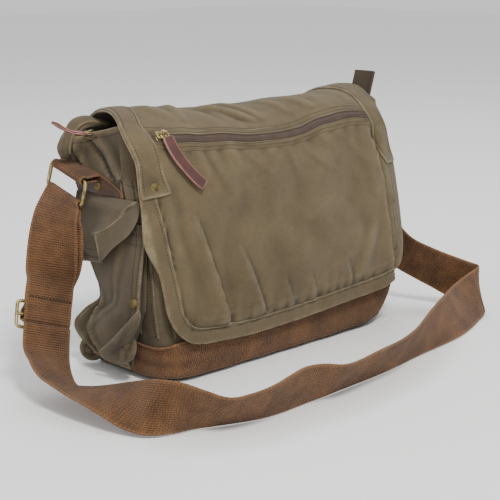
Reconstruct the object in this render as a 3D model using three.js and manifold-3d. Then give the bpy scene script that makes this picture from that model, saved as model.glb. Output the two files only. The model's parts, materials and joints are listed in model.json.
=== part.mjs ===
// Canvas messenger bag: a soft flap bag with a zipped flap pocket, bellows side pockets,
// webbing base band, and a wide shoulder strap on two rectangular rings.
// Millimetres, +Z up, X right along the front, Y towards the back.
// Origin: the middle of the underside of the base panel.
import * as THREE from "three";
import { mergeVertices } from "three/addons/utils/BufferGeometryUtils.js";
import Module from "manifold-3d";

const wasm = await Module();
wasm.setup();

// ---- driving dimensions -------------------------------------------------
const HALF_X = 181; // side panels' mid surface
const FRONT_R = 24; // front corners
const BACK_R = 10; // back corners
const CLOTH = 2.0; // canvas panel with its seam allowance
const GAP = 0.4; // between sewn layers
const SIDE_TOP = 238;
const BACK_TOP = 247;
const FRONT_TOP = 241;
const MOUTH_Z = 244; // level of the main zip
const ZIP_Y = 14; // line of the main zip
const FLAP_CLOTH = 2.2;
const FLAP_HALF = 190;
const FLAP_CORNER = 45;
const HINGE = [52, 250]; // y, z of the seam that the flap turns on
const FOLD = [-38.5, 252.8]; // y, z of the flap's front fold
const BAND_IN = 156; // flap reinforcement bands
const BAND_OUT = 186;
const STRAP_W = 51;
const STRAP_T = 1.8;
const RING_IN = 54; // clear width of the rings
const RING_H = 25.5; // bar to bar
const WIRE_R = 2.0;
const POCKET_OUT = 195; // outer face of the side pockets
const POCKET_IN = 184.5;

// ---- materials ------------------------------------------------------------
const mat = (c, r, m = 0) => new THREE.MeshStandardMaterial({ color: c, roughness: r, metalness: m });
const CANVAS = mat(0x80725a, 0.9);
const CANVAS_DARK = mat(0x6e6250, 0.92);
const LINING = mat(0x5b5345, 0.95);
const WEB = mat(0x74502f, 0.85);
const WEB_DARK = mat(0x543820, 0.85);
const LEATHER = mat(0x6e4038, 0.55);
const LEATHER_DARK = mat(0x3f2a1c, 0.6);
const BRASS = mat(0x96865a, 0.4, 0.9);
const TAPE = mat(0x5a4636, 0.9);
const COIL = mat(0x3a3836, 0.5);

const root = new THREE.Group();
function put(name, geometry, material, parent = root) {
  const m = new THREE.Mesh(geometry, material);
  m.name = name;
  parent.add(m);
  return m;
}

// ---- geometry helpers -------------------------------------------------------
function fromArrays(pos, idx) {
  let v = 0;
  for (let i = 0; i < idx.length; i += 3) {
    const [a, b, c] = [idx[i] * 3, idx[i + 1] * 3, idx[i + 2] * 3];
    v +=
      pos[a] * (pos[b + 1] * pos[c + 2] - pos[b + 2] * pos[c + 1]) -
      pos[a + 1] * (pos[b] * pos[c + 2] - pos[b + 2] * pos[c]) +
      pos[a + 2] * (pos[b] * pos[c + 1] - pos[b + 1] * pos[c]);
  }
  if (v < 0) for (let i = 0; i < idx.length; i += 3) [idx[i + 1], idx[i + 2]] = [idx[i + 2], idx[i + 1]];
  const g = new THREE.BufferGeometry();
  g.setAttribute("position", new THREE.Float32BufferAttribute(pos, 3));
  g.setIndex(idx);
  g.computeVertexNormals();
  return g;
}

// A closed sheet of even thickness t about the mid surface f(u, v) = [x, y, z].
function sheet(nu, nv, f, t) {
  const e = 1e-4;
  const P = (u, v) => new THREE.Vector3(...f(Math.min(1, Math.max(0, u)), Math.min(1, Math.max(0, v))));
  const pos = [];
  for (const side of [1, -1])
    for (let j = 0; j <= nv; j++)
      for (let i = 0; i <= nu; i++) {
        const u = i / nu,
          v = j / nv;
        const du = P(u + e, v).sub(P(u - e, v)),
          dv = P(u, v + e).sub(P(u, v - e));
        const n = du.cross(dv).normalize();
        const p = P(u, v).addScaledVector(n, (side * t) / 2);
        pos.push(p.x, p.y, p.z);
      }
  return fromArrays(pos, sheetIndex(nu, nv));
}
function sheetIndex(nu, nv) {
  const w = nu + 1,
    half = w * (nv + 1),
    idx = [];
  const A = (i, j) => j * w + i,
    B = (i, j) => half + j * w + i;
  for (let j = 0; j < nv; j++)
    for (let i = 0; i < nu; i++) {
      idx.push(A(i, j), A(i + 1, j), A(i + 1, j + 1), A(i, j), A(i + 1, j + 1), A(i, j + 1));
      idx.push(B(i, j), B(i + 1, j + 1), B(i + 1, j), B(i, j), B(i, j + 1), B(i + 1, j + 1));
    }
  const wall = (a, b, c, d) => idx.push(a, c, b, b, c, d); // a b on A side, c d on B side
  for (let i = 0; i < nu; i++) {
    wall(A(i, 0), A(i + 1, 0), B(i, 0), B(i + 1, 0));
    wall(A(i + 1, nv), A(i, nv), B(i + 1, nv), B(i, nv));
  }
  for (let j = 0; j < nv; j++) {
    wall(A(0, j + 1), A(0, j), B(0, j + 1), B(0, j));
    wall(A(nu, j), A(nu, j + 1), B(nu, j), B(nu, j + 1));
  }
  return idx;
}

// A ribbon between two edge lines, of thickness t.
function ribbon(L, R, t) {
  const n = L.length - 1;
  const pos = [];
  const N = L.map((_, i) => {
    const a = Math.max(0, i - 1),
      b = Math.min(n, i + 1);
    const T = L[b].clone().add(R[b]).sub(L[a]).sub(R[a]);
    return T.cross(R[i].clone().sub(L[i])).normalize();
  });
  for (const side of [1, -1])
    for (let j = 0; j <= n; j++)
      for (const e of [L, R]) {
        const p = e[j].clone().addScaledVector(N[j], (side * t) / 2);
        pos.push(p.x, p.y, p.z);
      }
  return fromArrays(pos, sheetIndex(1, n));
}

// Stacked loops of the same count, with flat fans at both ends.
function loft(loops) {
  const n = loops[0].length,
    pos = [],
    idx = [];
  for (const l of loops) for (const p of l) pos.push(p.x, p.y, p.z);
  for (let k = 0; k + 1 < loops.length; k++)
    for (let i = 0; i < n; i++) {
      const a = k * n + i,
        b = k * n + ((i + 1) % n);
      idx.push(a, b, b + n, a, b + n, a + n);
    }
  for (const [k, flip] of [
    [0, true],
    [loops.length - 1, false],
  ]) {
    const c = loops[k].reduce((s, p) => s.add(p), new THREE.Vector3()).divideScalar(n);
    const ci = pos.length / 3;
    pos.push(c.x, c.y, c.z);
    for (let i = 0; i < n; i++) {
      const a = k * n + i,
        b = k * n + ((i + 1) % n);
      flip ? idx.push(ci, b, a) : idx.push(ci, a, b);
    }
  }
  return fromArrays(pos, idx);
}

// A round wire along a closed flat path.
function wireLoop(path, normal, r, sides = 8) {
  const n = path.length,
    pos = [],
    idx = [];
  for (let i = 0; i < n; i++) {
    const T = path[(i + 1) % n].clone().sub(path[(i + n - 1) % n]).normalize();
    const out = T.clone().cross(normal).normalize();
    for (let k = 0; k < sides; k++) {
      const a = (2 * Math.PI * (k + 0.5)) / sides;
      const p = path[i].clone().addScaledVector(out, r * Math.cos(a)).addScaledVector(normal, r * Math.sin(a));
      pos.push(p.x, p.y, p.z);
    }
  }
  for (let i = 0; i < n; i++)
    for (let k = 0; k < sides; k++) {
      const a = i * sides + k,
        b = i * sides + ((k + 1) % sides),
        c = ((i + 1) % n) * sides + k,
        d = ((i + 1) % n) * sides + ((k + 1) % sides);
      idx.push(a, b, d, a, d, c);
    }
  return fromArrays(pos, idx);
}

function solid(g) {
  g = g.clone();
  for (const k of Object.keys(g.attributes)) if (k !== "position") g.deleteAttribute(k);
  g = mergeVertices(g, 1e-4);
  return new wasm.Manifold(
    new wasm.Mesh({
      numProp: 3,
      vertProperties: new Float32Array(g.attributes.position.array),
      triVerts: new Uint32Array(g.index.array),
    }),
  );
}
function back(m) {
  const s = m.getMesh(),
    v = new Float32Array(s.numVert * 3);
  for (let i = 0; i < s.numVert; i++) v.set(s.vertProperties.subarray(i * s.numProp, i * s.numProp + 3), i * 3);
  const g = new THREE.BufferGeometry();
  g.setAttribute("position", new THREE.BufferAttribute(v, 3));
  g.setIndex(new THREE.BufferAttribute(new Uint32Array(s.triVerts), 1));
  g.computeVertexNormals();
  return g;
}
function box(x0, x1, y0, y1, z0, z1) {
  const g = new THREE.BoxGeometry(x1 - x0, y1 - y0, z1 - z0);
  g.translate((x0 + x1) / 2, (y0 + y1) / 2, (z0 + z1) / 2);
  return g;
}
const curve = (pts) => new THREE.CatmullRomCurve3(pts.map(([y, z]) => new THREE.Vector3(0, y, z)), false, "centripetal");
function table(rows) {
  return (z) => {
    if (z <= rows[0][0]) return rows[0][1];
    for (let i = 1; i < rows.length; i++)
      if (z <= rows[i][0]) {
        const s = (z - rows[i - 1][0]) / (rows[i][0] - rows[i - 1][0]);
        const k = s * s * (3 - 2 * s) * 0.4 + s * 0.6;
        return rows[i - 1][1] + (rows[i][1] - rows[i - 1][1]) * k;
      }
    return rows[rows.length - 1][1];
  };
}

// ---- the bag's outline ----------------------------------------------------------
const yFront = table([
  [0, -77],
  [40, -79],
  [110, -74],
  [150, -67],
  [196, -57],
  [245, -44],
]);
const yBack = table([
  [0, 50],
  [60, 56],
  [150, 56],
  [246, 52],
]);

// Round the side from the front corner (t = 0) to the back corner (t = 1), at height z,
// moved out by off. sgn is -1 on the left and 1 on the right.
function sidePoint(t, z, off, sgn) {
  const yf = yFront(z) - off,
    yb = yBack(z) + off,
    X = HALF_X + off,
    rf = FRONT_R + off,
    rb = BACK_R + off;
  const a = (Math.PI / 2) * rf,
    b = yb - rb - (yf + rf),
    c = (Math.PI / 2) * rb,
    s = t * (a + b + c);
  if (s < a) {
    const q = s / rf;
    return [sgn * (X - rf + rf * Math.sin(q)), yf + rf - rf * Math.cos(q), z];
  }
  if (s < a + b) return [sgn * X, yf + rf + (s - a), z];
  const q = (s - a - b) / rb;
  return [sgn * (X - rb + rb * Math.cos(q)), yb - rb + rb * Math.sin(q), z];
}

// ---- main body --------------------------------------------------------------------
// Flat base with the same outline as the walls.
{
  const ring = (z, off) => {
    const pts = [];
    const n = 14;
    for (let i = 0; i <= n; i++) pts.push(sidePoint(i / n, z, off, -1));
    for (let i = n; i >= 0; i--) pts.push(sidePoint(i / n, z, off, 1));
    return pts.map((p) => new THREE.Vector3(...p));
  };
  const flat = (z, off) => ring(0, off).map((p) => p.setZ(z));
  put("base_panel", loft([flat(0, -1), flat(2.2, 0.6)]), CANVAS_DARK);
}
const WALL0 = 2.7;
put(
  "front_panel",
  sheet(12, 9, (u, v) => {
    const z = WALL0 + (FRONT_TOP - WALL0) * v,
      w = HALF_X - FRONT_R - GAP;
    return [-w + 2 * w * u, yFront(z), z];
  }, CLOTH),
  CANVAS,
);
put(
  "back_panel",
  sheet(12, 7, (u, v) => {
    const z = WALL0 + (BACK_TOP - WALL0) * v,
      w = HALF_X - BACK_R - GAP;
    return [-w + 2 * w * u, yBack(z), z];
  }, CLOTH),
  CANVAS,
);
for (const [side, sgn] of [
  ["left", -1],
  ["right", 1],
])
  put(
    side + "_side_panel",
    sheet(18, 8, (u, v) => sidePoint(u, WALL0 + (SIDE_TOP - WALL0) * v, 0, sgn), CLOTH),
    CANVAS_DARK,
  );
// The webbing band sewn round the foot of the front and its corners.
put(
  "base_webbing_band",
  sheet(40, 3, (u, v) => {
    const z = 2.7 + (46 - 2.7) * v,
      off = CLOTH / 2 + GAP + 0.9;
    // corner, front, corner
    const a = 0.3;
    if (u < a) return sidePoint(0.3 * (1 - u / a), z, off, -1);
    if (u > 1 - a) return sidePoint(0.3 * ((u - 1 + a) / a), z, off, 1);
    const w = HALF_X - FRONT_R;
    return [-w + 2 * w * ((u - a) / (1 - 2 * a)), yFront(z) - off, z];
  }, 1.8),
  WEB,
);
// The lining: a thin open-topped cloth box just inside the panels.
{
  const ring = (z, off) => {
    const pts = [];
    const n = 10;
    for (let i = 0; i <= n; i++) pts.push(sidePoint(i / n, z, off, -1));
    for (let i = n; i >= 0; i--) pts.push(sidePoint(i / n, z, off, 1));
    return pts.map((p) => new THREE.Vector3(...p));
  };
  const rows = 12;
  const levels = (z0, z1) => Array.from({ length: rows + 1 }, (_, k) => z0 + ((z1 - z0) * k) / rows);
  const outer = loft(levels(2.9, 236).map((z) => ring(z, -CLOTH / 2 - 1.4)));
  const inner = loft(levels(3.9, 240).map((z) => ring(z, -CLOTH / 2 - 2.3)));
  put("lining", back(solid(outer).subtract(solid(inner))), LINING);
}

// ---- main zip and its facings -----------------------------------------------------
const lens = (x) => (Math.abs(x) < 176 ? Math.cos((Math.PI * x) / 352) : 0);
const zipFrontY = (x) => ZIP_Y - 0.6 - 23 * lens(x); // toothed edge of the front tape
const zipBackY = (x) => ZIP_Y + 0.6 + 18 * lens(x);
put(
  "front_mouth_facing",
  sheet(16, 2, (u, v) => {
    const x = -176 + 352 * u,
      y0 = -41.5,
      y1 = zipFrontY(x) - 9.2;
    return [x, y0 + (y1 - y0) * v, MOUTH_Z];
  }, 1.6),
  CANVAS_DARK,
);
put(
  "back_mouth_facing",
  sheet(16, 2, (u, v) => {
    const x = -176 + 352 * u,
      y0 = 49.5,
      y1 = zipBackY(x) + 9.2;
    return [x, y0 + (y1 - y0) * v, MOUTH_Z];
  }, 1.6),
  CANVAS_DARK,
);
for (const [nm, edge, d] of [
  ["front", zipFrontY, -1],
  ["back", zipBackY, 1],
])
  put(
    "main_zip_tape_" + nm,
    sheet(34, 1, (u, v) => {
      const x = -198 + 379 * u;
      return [x, edge(x) + d * 8 * v, MOUTH_Z];
    }, 1.2),
    TAPE,
  );
put(
  "main_zip_end_tab",
  sheet(2, 6, (u, v) => {
    const c = new THREE.CatmullRomCurve3(
      [
        [183, 244],
        [196, 245.5],
        [204, 252],
        [210, 265],
        [216, 281],
      ].map(([x, z]) => new THREE.Vector3(x, 0, z)),
      false,
      "centripetal",
    ).getPoint(v);
    return [c.x, 0.5 + 27 * u, c.z];
  }, 3),
  CANVAS_DARK,
);
// Main zip slider: two plates round the tapes, joined by the divider between them.
const SLIDER_X = -192;
{
  let s = solid(box(SLIDER_X - 5, SLIDER_X + 5, ZIP_Y - 5, ZIP_Y + 5, MOUTH_Z - 2.4, MOUTH_Z + 2.4));
  s = s.subtract(solid(box(SLIDER_X - 8, SLIDER_X + 8, ZIP_Y - 8, ZIP_Y - 0.3, MOUTH_Z - 1.2, MOUTH_Z + 1.2)));
  s = s.subtract(solid(box(SLIDER_X - 8, SLIDER_X + 8, ZIP_Y + 0.3, ZIP_Y + 8, MOUTH_Z - 1.2, MOUTH_Z + 1.2)));
  let bail = solid(box(SLIDER_X - 4, SLIDER_X + 3, ZIP_Y - 1.5, ZIP_Y + 1.5, MOUTH_Z + 2.0, MOUTH_Z + 4.6));
  s = s.add(bail);
  put("main_zip_slider", back(s), BRASS);
}
put(
  "main_zip_pull",
  sheet(1, 4, (u, v) => {
    const x = SLIDER_X - 9.5 - 33 * v;
    return [x, ZIP_Y - 4.5 + 9 * u, MOUTH_Z + 2.4 + 9.5 * v * (0.55 + 0.45 * v)];
  }, 2.4),
  LEATHER,
);

// ---- flap -------------------------------------------------------------------------------
const TOP = curve([
  [50.0, 251.4],
  [40, 258],
  [28, 262.6],
  [12, 265.4],
  [-4, 265.4],
  [-18, 262.6],
  [-30, 257.6],
  [-36.6, 254.0],
]);
const FRONT = curve([
  [-40.3, 251.4],
  [-46, 246.7],
  [-53, 238.5],
  [-58, 228],
  [-61.2, 215],
  [-64, 196],
  [-70, 170],
  [-76, 140],
  [-81, 110],
  [-84.5, 80],
  [-86.4, 55],
  [-87, 39],
]);
const FRONT_LEN = FRONT.getLength();
// Point on a flap curve, at share v of its length, moved out by off.
function onCurve(c, v, off = 0) {
  const p = c.getPointAt(v),
    t = c.getTangentAt(v);
  return [p.y + t.z * off, p.z - t.y * off];
}
const halfAt = (s) => {
  // half width of the flap's front at distance s below the fold
  const w = FLAP_HALF - 4 * Math.max(0, (s - 100) / (FRONT_LEN - 100));
  const d = s - (FRONT_LEN - FLAP_CORNER);
  return d <= 0 ? w : w - FLAP_CORNER + Math.sqrt(Math.max(0, FLAP_CORNER ** 2 - d * d)) * 0.999;
};
put(
  "flap_top_panel",
  sheet(14, 8, (u, v) => {
    const [y, z] = onCurve(TOP, v);
    return [-FLAP_HALF + 2 * FLAP_HALF * u, y, z];
  }, FLAP_CLOTH),
  CANVAS,
);
const FLAP_ROWS = [0, 0.02, 0.05, 0.09, 0.14, 0.2, 0.3, 0.42, 0.55, 0.68, 0.79, 0.86, 0.91, 0.95, 0.98, 1];
put(
  "flap_front_panel",
  sheet(14, FLAP_ROWS.length - 1, (u, v) => {
    const k = v * (FLAP_ROWS.length - 1),
      i = Math.min(FLAP_ROWS.length - 2, Math.floor(k)),
      s = FLAP_ROWS[i] + (FLAP_ROWS[i + 1] - FLAP_ROWS[i]) * (k - i);
    const [y, z] = onCurve(FRONT, s),
      w = halfAt(s * FRONT_LEN);
    return [-w + 2 * w * u, y, z];
  }, FLAP_CLOTH),
  CANVAS,
);
put(
  "flap_lining",
  sheet(12, 12, (u, v) => {
    const s = 0.03 + 0.93 * v;
    const [y, z] = onCurve(FRONT, s, -FLAP_CLOTH / 2 - GAP - 0.4),
      w = halfAt(s * FRONT_LEN) - 4;
    return [-w + 2 * w * u, y, z];
  }, 0.8),
  LINING,
);
const BAND_OFF = FLAP_CLOTH / 2 + 0.3 + 0.8;
const BAND_END = 66 / FRONT_LEN;
for (const [side, sgn] of [
  ["left", -1],
  ["right", 1],
]) {
  put(
    side + "_band_top",
    sheet(2, 8, (u, v) => {
      const [y, z] = onCurve(TOP, v, BAND_OFF);
      return [sgn * (BAND_IN + (BAND_OUT - BAND_IN) * u), y, z];
    }, 1.6),
    CANVAS,
  );
  put(
    side + "_band_front",
    sheet(2, 8, (u, v) => {
      const [y, z] = onCurve(FRONT, v * BAND_END, BAND_OFF);
      return [sgn * (BAND_IN + (BAND_OUT - BAND_IN) * u), y, z];
    }, 1.6),
    CANVAS,
  );
}
// Rivets: a domed cap on each band end, anchor patch and pocket.
function cap(r, h) {
  return new THREE.LatheGeometry(
    [
      [0, 0],
      [r * 0.92, 0],
      [r, h * 0.3],
      [r * 0.72, h * 0.85],
      [0, h],
    ].map(([x, y]) => new THREE.Vector2(x, y)),
    14,
  );
}
function capAt(name, r, h, p, dir) {
  const m = put(name, cap(r, h), BRASS);
  m.position.set(...p);
  m.quaternion.setFromUnitVectors(new THREE.Vector3(0, 1, 0), new THREE.Vector3(...dir).normalize());
  return m;
}
{
  const s = 58 / FRONT_LEN;
  const t = FRONT.getTangentAt(s);
  const [y, z] = onCurve(FRONT, s, BAND_OFF + 0.8 + 0.35);
  capAt("left_flap_rivet", 5, 2.2, [-171.5, y, z], [0, t.z, -t.y]);
  capAt("right_flap_rivet", 5, 2.2, [171.5, y, z], [0, t.z, -t.y]);
}
// Flap pocket zip.
const ZIP_S = 10; // distance of the flap zip below the fold
put(
  "flap_zip_tape",
  sheet(12, 3, (u, v) => {
    const [y, z] = onCurve(FRONT, (ZIP_S - 5.5 + 11 * v) / FRONT_LEN, FLAP_CLOTH / 2 + 0.3 + 0.4);
    return [-138 + 276 * u, y, z];
  }, 0.8),
  TAPE,
);
put(
  "flap_zip_coil",
  sheet(12, 2, (u, v) => {
    const [y, z] = onCurve(FRONT, (ZIP_S - 1.6 + 3.2 * v) / FRONT_LEN, FLAP_CLOTH / 2 + 1.5 + 0.6);
    return [-134 + 268 * u, y, z];
  }, 1.1),
  COIL,
);
const FZ_X = -143; // flap zip slider at its left stop
{
  const [y, z] = onCurve(FRONT, ZIP_S / FRONT_LEN, 0);
  const t = FRONT.getTangentAt(ZIP_S / FRONT_LEN);
  const g = new THREE.Group();
  // local X along the bag, local Y down the flap, local Z out of it
  const X = new THREE.Vector3(1, 0, 0),
    D = new THREE.Vector3(0, t.y, t.z),
    N = new THREE.Vector3(0, t.z, -t.y);
  g.matrixAutoUpdate = false;
  g.matrix.makeBasis(X, D, N.clone()).setPosition(0, y, z);
  // left-handed set is avoided by turning D round
  if (g.matrix.determinant() < 0) g.matrix.makeBasis(X, D.clone().negate(), N).setPosition(0, y, z);
  root.add(g);
  let s = solid(box(FZ_X - 6, FZ_X + 6, -4.2, 4.2, 4.2, 6.6));
  s = s.add(solid(box(FZ_X - 4, FZ_X + 4, -1.4, 1.4, 6.4, 8.6)));
  put("flap_zip_slider", back(s), BRASS, g);
}
const FP = { x0: FZ_X + 2, x1: FZ_X + 40, s0: 16.2, s1: 60 };
put(
  "flap_zip_pull",
  sheet(2, 7, (u, v) => {
    const s = FP.s0 + (FP.s1 - FP.s0) * v,
      x = FP.x0 + (FP.x1 - FP.x0) * v;
    // the strip's width is across its own length
    const L = Math.hypot(FP.x1 - FP.x0, FP.s1 - FP.s0),
      cx = (FP.s1 - FP.s0) / L,
      cs = -(FP.x1 - FP.x0) / L,
      w = 5 * (2 * u - 1);
    const smax = Math.max(14.8, s + cs * w);
    const [y, z] = onCurve(FRONT, smax / FRONT_LEN, 6.4 - 2.6 * v);
    return [x + cx * w, y, z];
  }, 2.4),
  LEATHER,
);

// ---- side pockets ---------------------------------------------------------------------
const POCKET = { y0: -50, y1: 44, z0: 12, z1: 162 };
const FLAP_HINGE_Z = 187;
for (const [side, sgn] of [
  ["left", -1],
  ["right", 1],
]) {
  const bx = (a, b, ...r) => (sgn < 0 ? box(-b, -a, ...r) : box(a, b, ...r));
  const pouch = solid(bx(POCKET_IN, POCKET_OUT, POCKET.y0, POCKET.y1, POCKET.z0, POCKET.z1)).subtract(
    solid(bx(POCKET_IN - 3, POCKET_OUT - 1.6, POCKET.y0 + 1.6, POCKET.y1 - 1.6, POCKET.z0 + 1.6, POCKET.z1 + 5)),
  );
  put(side + "_pocket_body", back(pouch), CANVAS_DARK);
  const prof = [
    [186.3, 186.2],
    [191, 181.5],
    [195.6, 172.5],
    [197.4, 160],
    [197.7, 140],
    [197.9, 113],
  ];
  const c = new THREE.CatmullRomCurve3(prof.map(([x, z]) => new THREE.Vector3(sgn * x, 0, z)), false, "centripetal");
  put(
    side + "_pocket_flap",
    sheet(4, 8, (u, v) => {
      const p = c.getPointAt(v);
      return [p.x, -49 + 94 * u, p.z];
    }, 2),
    CANVAS,
  );
  capAt(side + "_pocket_rivet", 4.6, 2, [sgn * (POCKET_OUT + 0.35), -43, 86], [sgn, 0, 0]);
}

// ---- strap anchors and rings --------------------------------------------------------------
const E = new THREE.Vector3(0, 0.965, 0.262).normalize(); // the bars' direction, the back end higher
function anchor(side, sgn) {
  const top = new THREE.Vector3(sgn * 211, 27, 208.5),
    A = new THREE.Vector3(1, 0, 0),
    B = A.clone().cross(E).normalize(); // up, square to the bar
  if (B.z < 0) B.negate();
  // Webbing loop: a sleeve round the top bar, with a doubled tail sewn to the side.
  const ro = 4.7,
    ri = 2.7,
    reach = 211 - 182.5;
  const s = new THREE.Shape();
  const a0 = Math.asin(2.1 / ro);
  const inw = sgn < 0 ? 1 : -1; // towards the bag
  const pts = [];
  for (let k = 0; k <= 16; k++) {
    const a = a0 + ((2 * Math.PI - 2 * a0) * k) / 16;
    pts.push([inw * ro * Math.cos(a), ro * Math.sin(a)]);
  }
  pts.push([inw * reach, -2.1], [inw * reach, 2.1]);
  s.moveTo(...pts[0]);
  for (const p of pts.slice(1)) s.lineTo(...p);
  const hole = new THREE.Path();
  for (let k = 0; k < 12; k++) {
    const a = (2 * Math.PI * k) / 12;
    k ? hole.lineTo(ri * Math.cos(a), ri * Math.sin(a)) : hole.moveTo(ri, 0);
  }
  s.holes.push(hole);
  const g = new THREE.ExtrudeGeometry(s, { depth: 48, bevelEnabled: false, steps: 1, curveSegments: 1 });
  g.translate(0, 0, -24);
  const grp = new THREE.Group();
  grp.matrixAutoUpdate = false;
  const Z = A.clone().cross(B); // along the bar
  grp.matrix.makeBasis(A, B, Z).setPosition(top);
  root.add(grp);
  put(side + "_anchor_loop", g, WEB, grp);
  // Ring of round wire, hanging from the loop.
  const down = new THREE.Vector3(sgn * 2, 6.4, -24.6);
  down.addScaledVector(E, -down.dot(E)).normalize();
  const mid = top.clone().addScaledVector(down, RING_H / 2),
    hw = RING_IN / 2 + WIRE_R,
    hh = RING_H / 2,
    rc = 4;
  const path = [];
  for (const [cx, cy, q] of [
    [hw - rc, hh - rc, 0],
    [-hw + rc, hh - rc, 1],
    [-hw + rc, -hh + rc, 2],
    [hw - rc, -hh + rc, 3],
  ])
    for (let k = 0; k <= 4; k++) {
      const a = (Math.PI / 2) * (q + k / 4);
      path.push(
        mid
          .clone()
          .addScaledVector(E, cx + rc * Math.cos(a))
          .addScaledVector(down, cy + rc * Math.sin(a)),
      );
    }
  const nrm = E.clone().cross(down).normalize();
  put(side + "_ring", wireLoop(path, nrm, WIRE_R), BRASS);
  // Stitched leather patch under the loop, with its rivet.
  const sh = new THREE.Shape();
  const tri = [
    [-31, 187.5],
    [-28, 194],
    [0, 214],
    [30, 222],
    [46, 220],
    [46, 196],
    [4, 179],
    [-27, 183.5],
  ];
  sh.moveTo(...tri[0]);
  for (const p of tri.slice(1)) sh.lineTo(...p);
  let patch = new THREE.ExtrudeGeometry(sh, { depth: 2, bevelEnabled: false });
  // shape x is the bag's y, shape y is the bag's z, depth runs out from the side
  const m = new THREE.Matrix4().makeBasis(new THREE.Vector3(0, 1, 0), new THREE.Vector3(0, 0, 1), new THREE.Vector3(1, 0, 0));
  m.setPosition(sgn > 0 ? 182.4 : -184.4, 0, 0);
  patch.applyMatrix4(m);
  const cutBox = (() => {
    // room for the tail of the loop, which is sewn down through the patch
    const b = new THREE.BoxGeometry(20, 5.2, 52);
    b.applyMatrix4(new THREE.Matrix4().makeBasis(A, B, Z).setPosition(sgn * 184, 27, 208.5));
    return solid(b);
  })();
  let ps = solid(patch).subtract(cutBox);
  const parts = ps.decompose().sort((p, q) => q.volume() - p.volume());
  put(side + "_anchor_patch", back(parts[0]), LEATHER_DARK);
  capAt(side + "_anchor_rivet", 4, 1.8, [sgn * 184.8, -9, 194], [sgn, 0, 0]);
  return { top, down, bottom: top.clone().addScaledVector(down, RING_H) };
}
const leftAnchor = anchor("left", -1);
const rightAnchor = anchor("right", 1);

// ---- grab handle on the back ------------------------------------------------------------------
put(
  "grab_handle",
  sheet(24, 2, (u, v) => {
    // sewn flat at both ends, bowed up and back between them
    const x = -78 + 156 * u,
      a = Math.abs(x);
    const k = a > 58 ? 0 : Math.cos((Math.PI * a) / 116) ** 0.8;
    const z = 222 + 24 * v + 13 * k;
    return [x, yBack(222 + 24 * v) + 2.7 + 15 * k, z];
  }, 2.4),
  WEB_DARK,
);

// ---- shoulder strap --------------------------------------------------------------------------
// Edge lines of the strap from the left ring, down through the adjuster, along the floor in
// front of the bag, round a hairpin and up to the right ring.
const SL = [[-219.0, 55.9, 190.4], [-236.1, 51.8, 172.1], [-247.5, 46.9, 151.0], [-256.2, 40.5, 129.8], [-264.7, 31.2, 110.3], [-273.5, 19.1, 93.0], [-282.0, 8.3, 74.9], [-290.2, -2.9, 56.9], [-297.3, -18.5, 42.1], [-301.5, -39.2, 33.1], [-302.2, -61.8, 28.8], [-301.4, -84.4, 24.5], [-298.9, -106.8, 20.4], [-294.4, -128.4, 13.9], [-287.1, -148.6, 5.9], [-276.0, -167.9, 2.6], [-255.4, -176.5, 1.4], [-233.8, -180.6, 1.4], [-213.4, -188.0, 1.4], [-193.3, -195.8, 1.4], [-173.1, -202.2, 1.4], [-152.2, -205.1, 1.4], [-131.0, -205.0, 1.4], [-109.6, -203.4, 1.4], [-87.8, -202.3, 1.4], [-65.8, -200.6, 1.4], [-43.8, -199.2, 1.4], [-21.8, -197.8, 1.4], [0.2, -196.0, 1.4], [22.2, -193.5, 1.4], [44.0, -190.4, 1.4], [65.8, -186.8, 1.4], [87.6, -183.5, 1.4], [109.5, -180.7, 1.4], [131.5, -178.1, 1.4], [153.6, -174.9, 1.4], [175.5, -170.3, 1.4], [197.1, -163.9, 1.4], [218.3, -156.1, 1.4], [239.1, -147.7, 1.6], [259.8, -139.8, 2.4], [276.6, -126.5, 1.4], [281.7, -104.2, 2.4], [267.0, -86.9, 10.0], [256.3, -65.6, 21.5], [243.8, -45.3, 32.6], [232.9, -24.5, 44.6], [229.0, -2.5, 59.2], [232.8, 18.2, 75.5], [238.2, 36.8, 93.6], [240.8, 52.6, 115.0], [234.6, 59.8, 140.0], [224.8, 61.1, 164.7], [215.5, 57.9, 189.5]];
const SR = [[-212.0, 6.2, 181.8], [-219.8, 3.3, 164.6], [-220.2, 3.6, 144.2], [-220.2, 4.7, 123.0], [-221.4, 5.9, 101.0], [-226.7, 4.2, 79.5], [-234.4, 0.0, 58.8], [-242.3, -8.9, 39.9], [-250.2, -19.8, 22.3], [-255.2, -38.1, 11.7], [-252.8, -59.6, 15.6], [-250.4, -80.8, 22.1], [-248.8, -102.0, 29.4], [-249.0, -123.2, 36.8], [-253.2, -143.9, 44.4], [-259.1, -164.5, 51.4], [-251.3, -185.4, 51.8], [-239.6, -204.3, 46.0], [-224.1, -219.9, 39.0], [-202.2, -227.3, 39.6], [-179.0, -230.2, 42.4], [-155.6, -228.2, 45.9], [-132.4, -225.1, 48.0], [-109.4, -227.4, 46.3], [-87.4, -232.6, 41.7], [-64.5, -232.1, 41.2], [-41.9, -229.3, 42.3], [-19.3, -226.5, 43.1], [3.3, -223.5, 43.6], [25.6, -218.5, 45.1], [47.3, -211.7, 47.0], [68.2, -202.6, 49.3], [89.0, -193.1, 50.9], [109.6, -183.4, 51.7], [130.1, -173.3, 51.6], [150.1, -162.7, 50.4], [169.5, -151.2, 48.0], [188.4, -139.6, 45.1], [207.6, -128.5, 42.8], [228.0, -119.5, 42.8], [249.9, -116.1, 47.7], [272.5, -114.1, 52.2], [285.9, -109.2, 53.1], [273.9, -102.6, 58.7], [257.1, -88.8, 66.4], [240.9, -72.2, 76.0], [228.2, -52.9, 86.8], [229.4, -32.1, 100.8], [246.2, -15.9, 111.2], [263.8, 0.8, 119.2], [273.0, 18.1, 134.7], [260.6, 18.7, 156.2], [239.3, 12.1, 168.9], [215.5, 8.0, 177.4]];
const toV = (a) => a.map((p) => new THREE.Vector3(...p));
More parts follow.
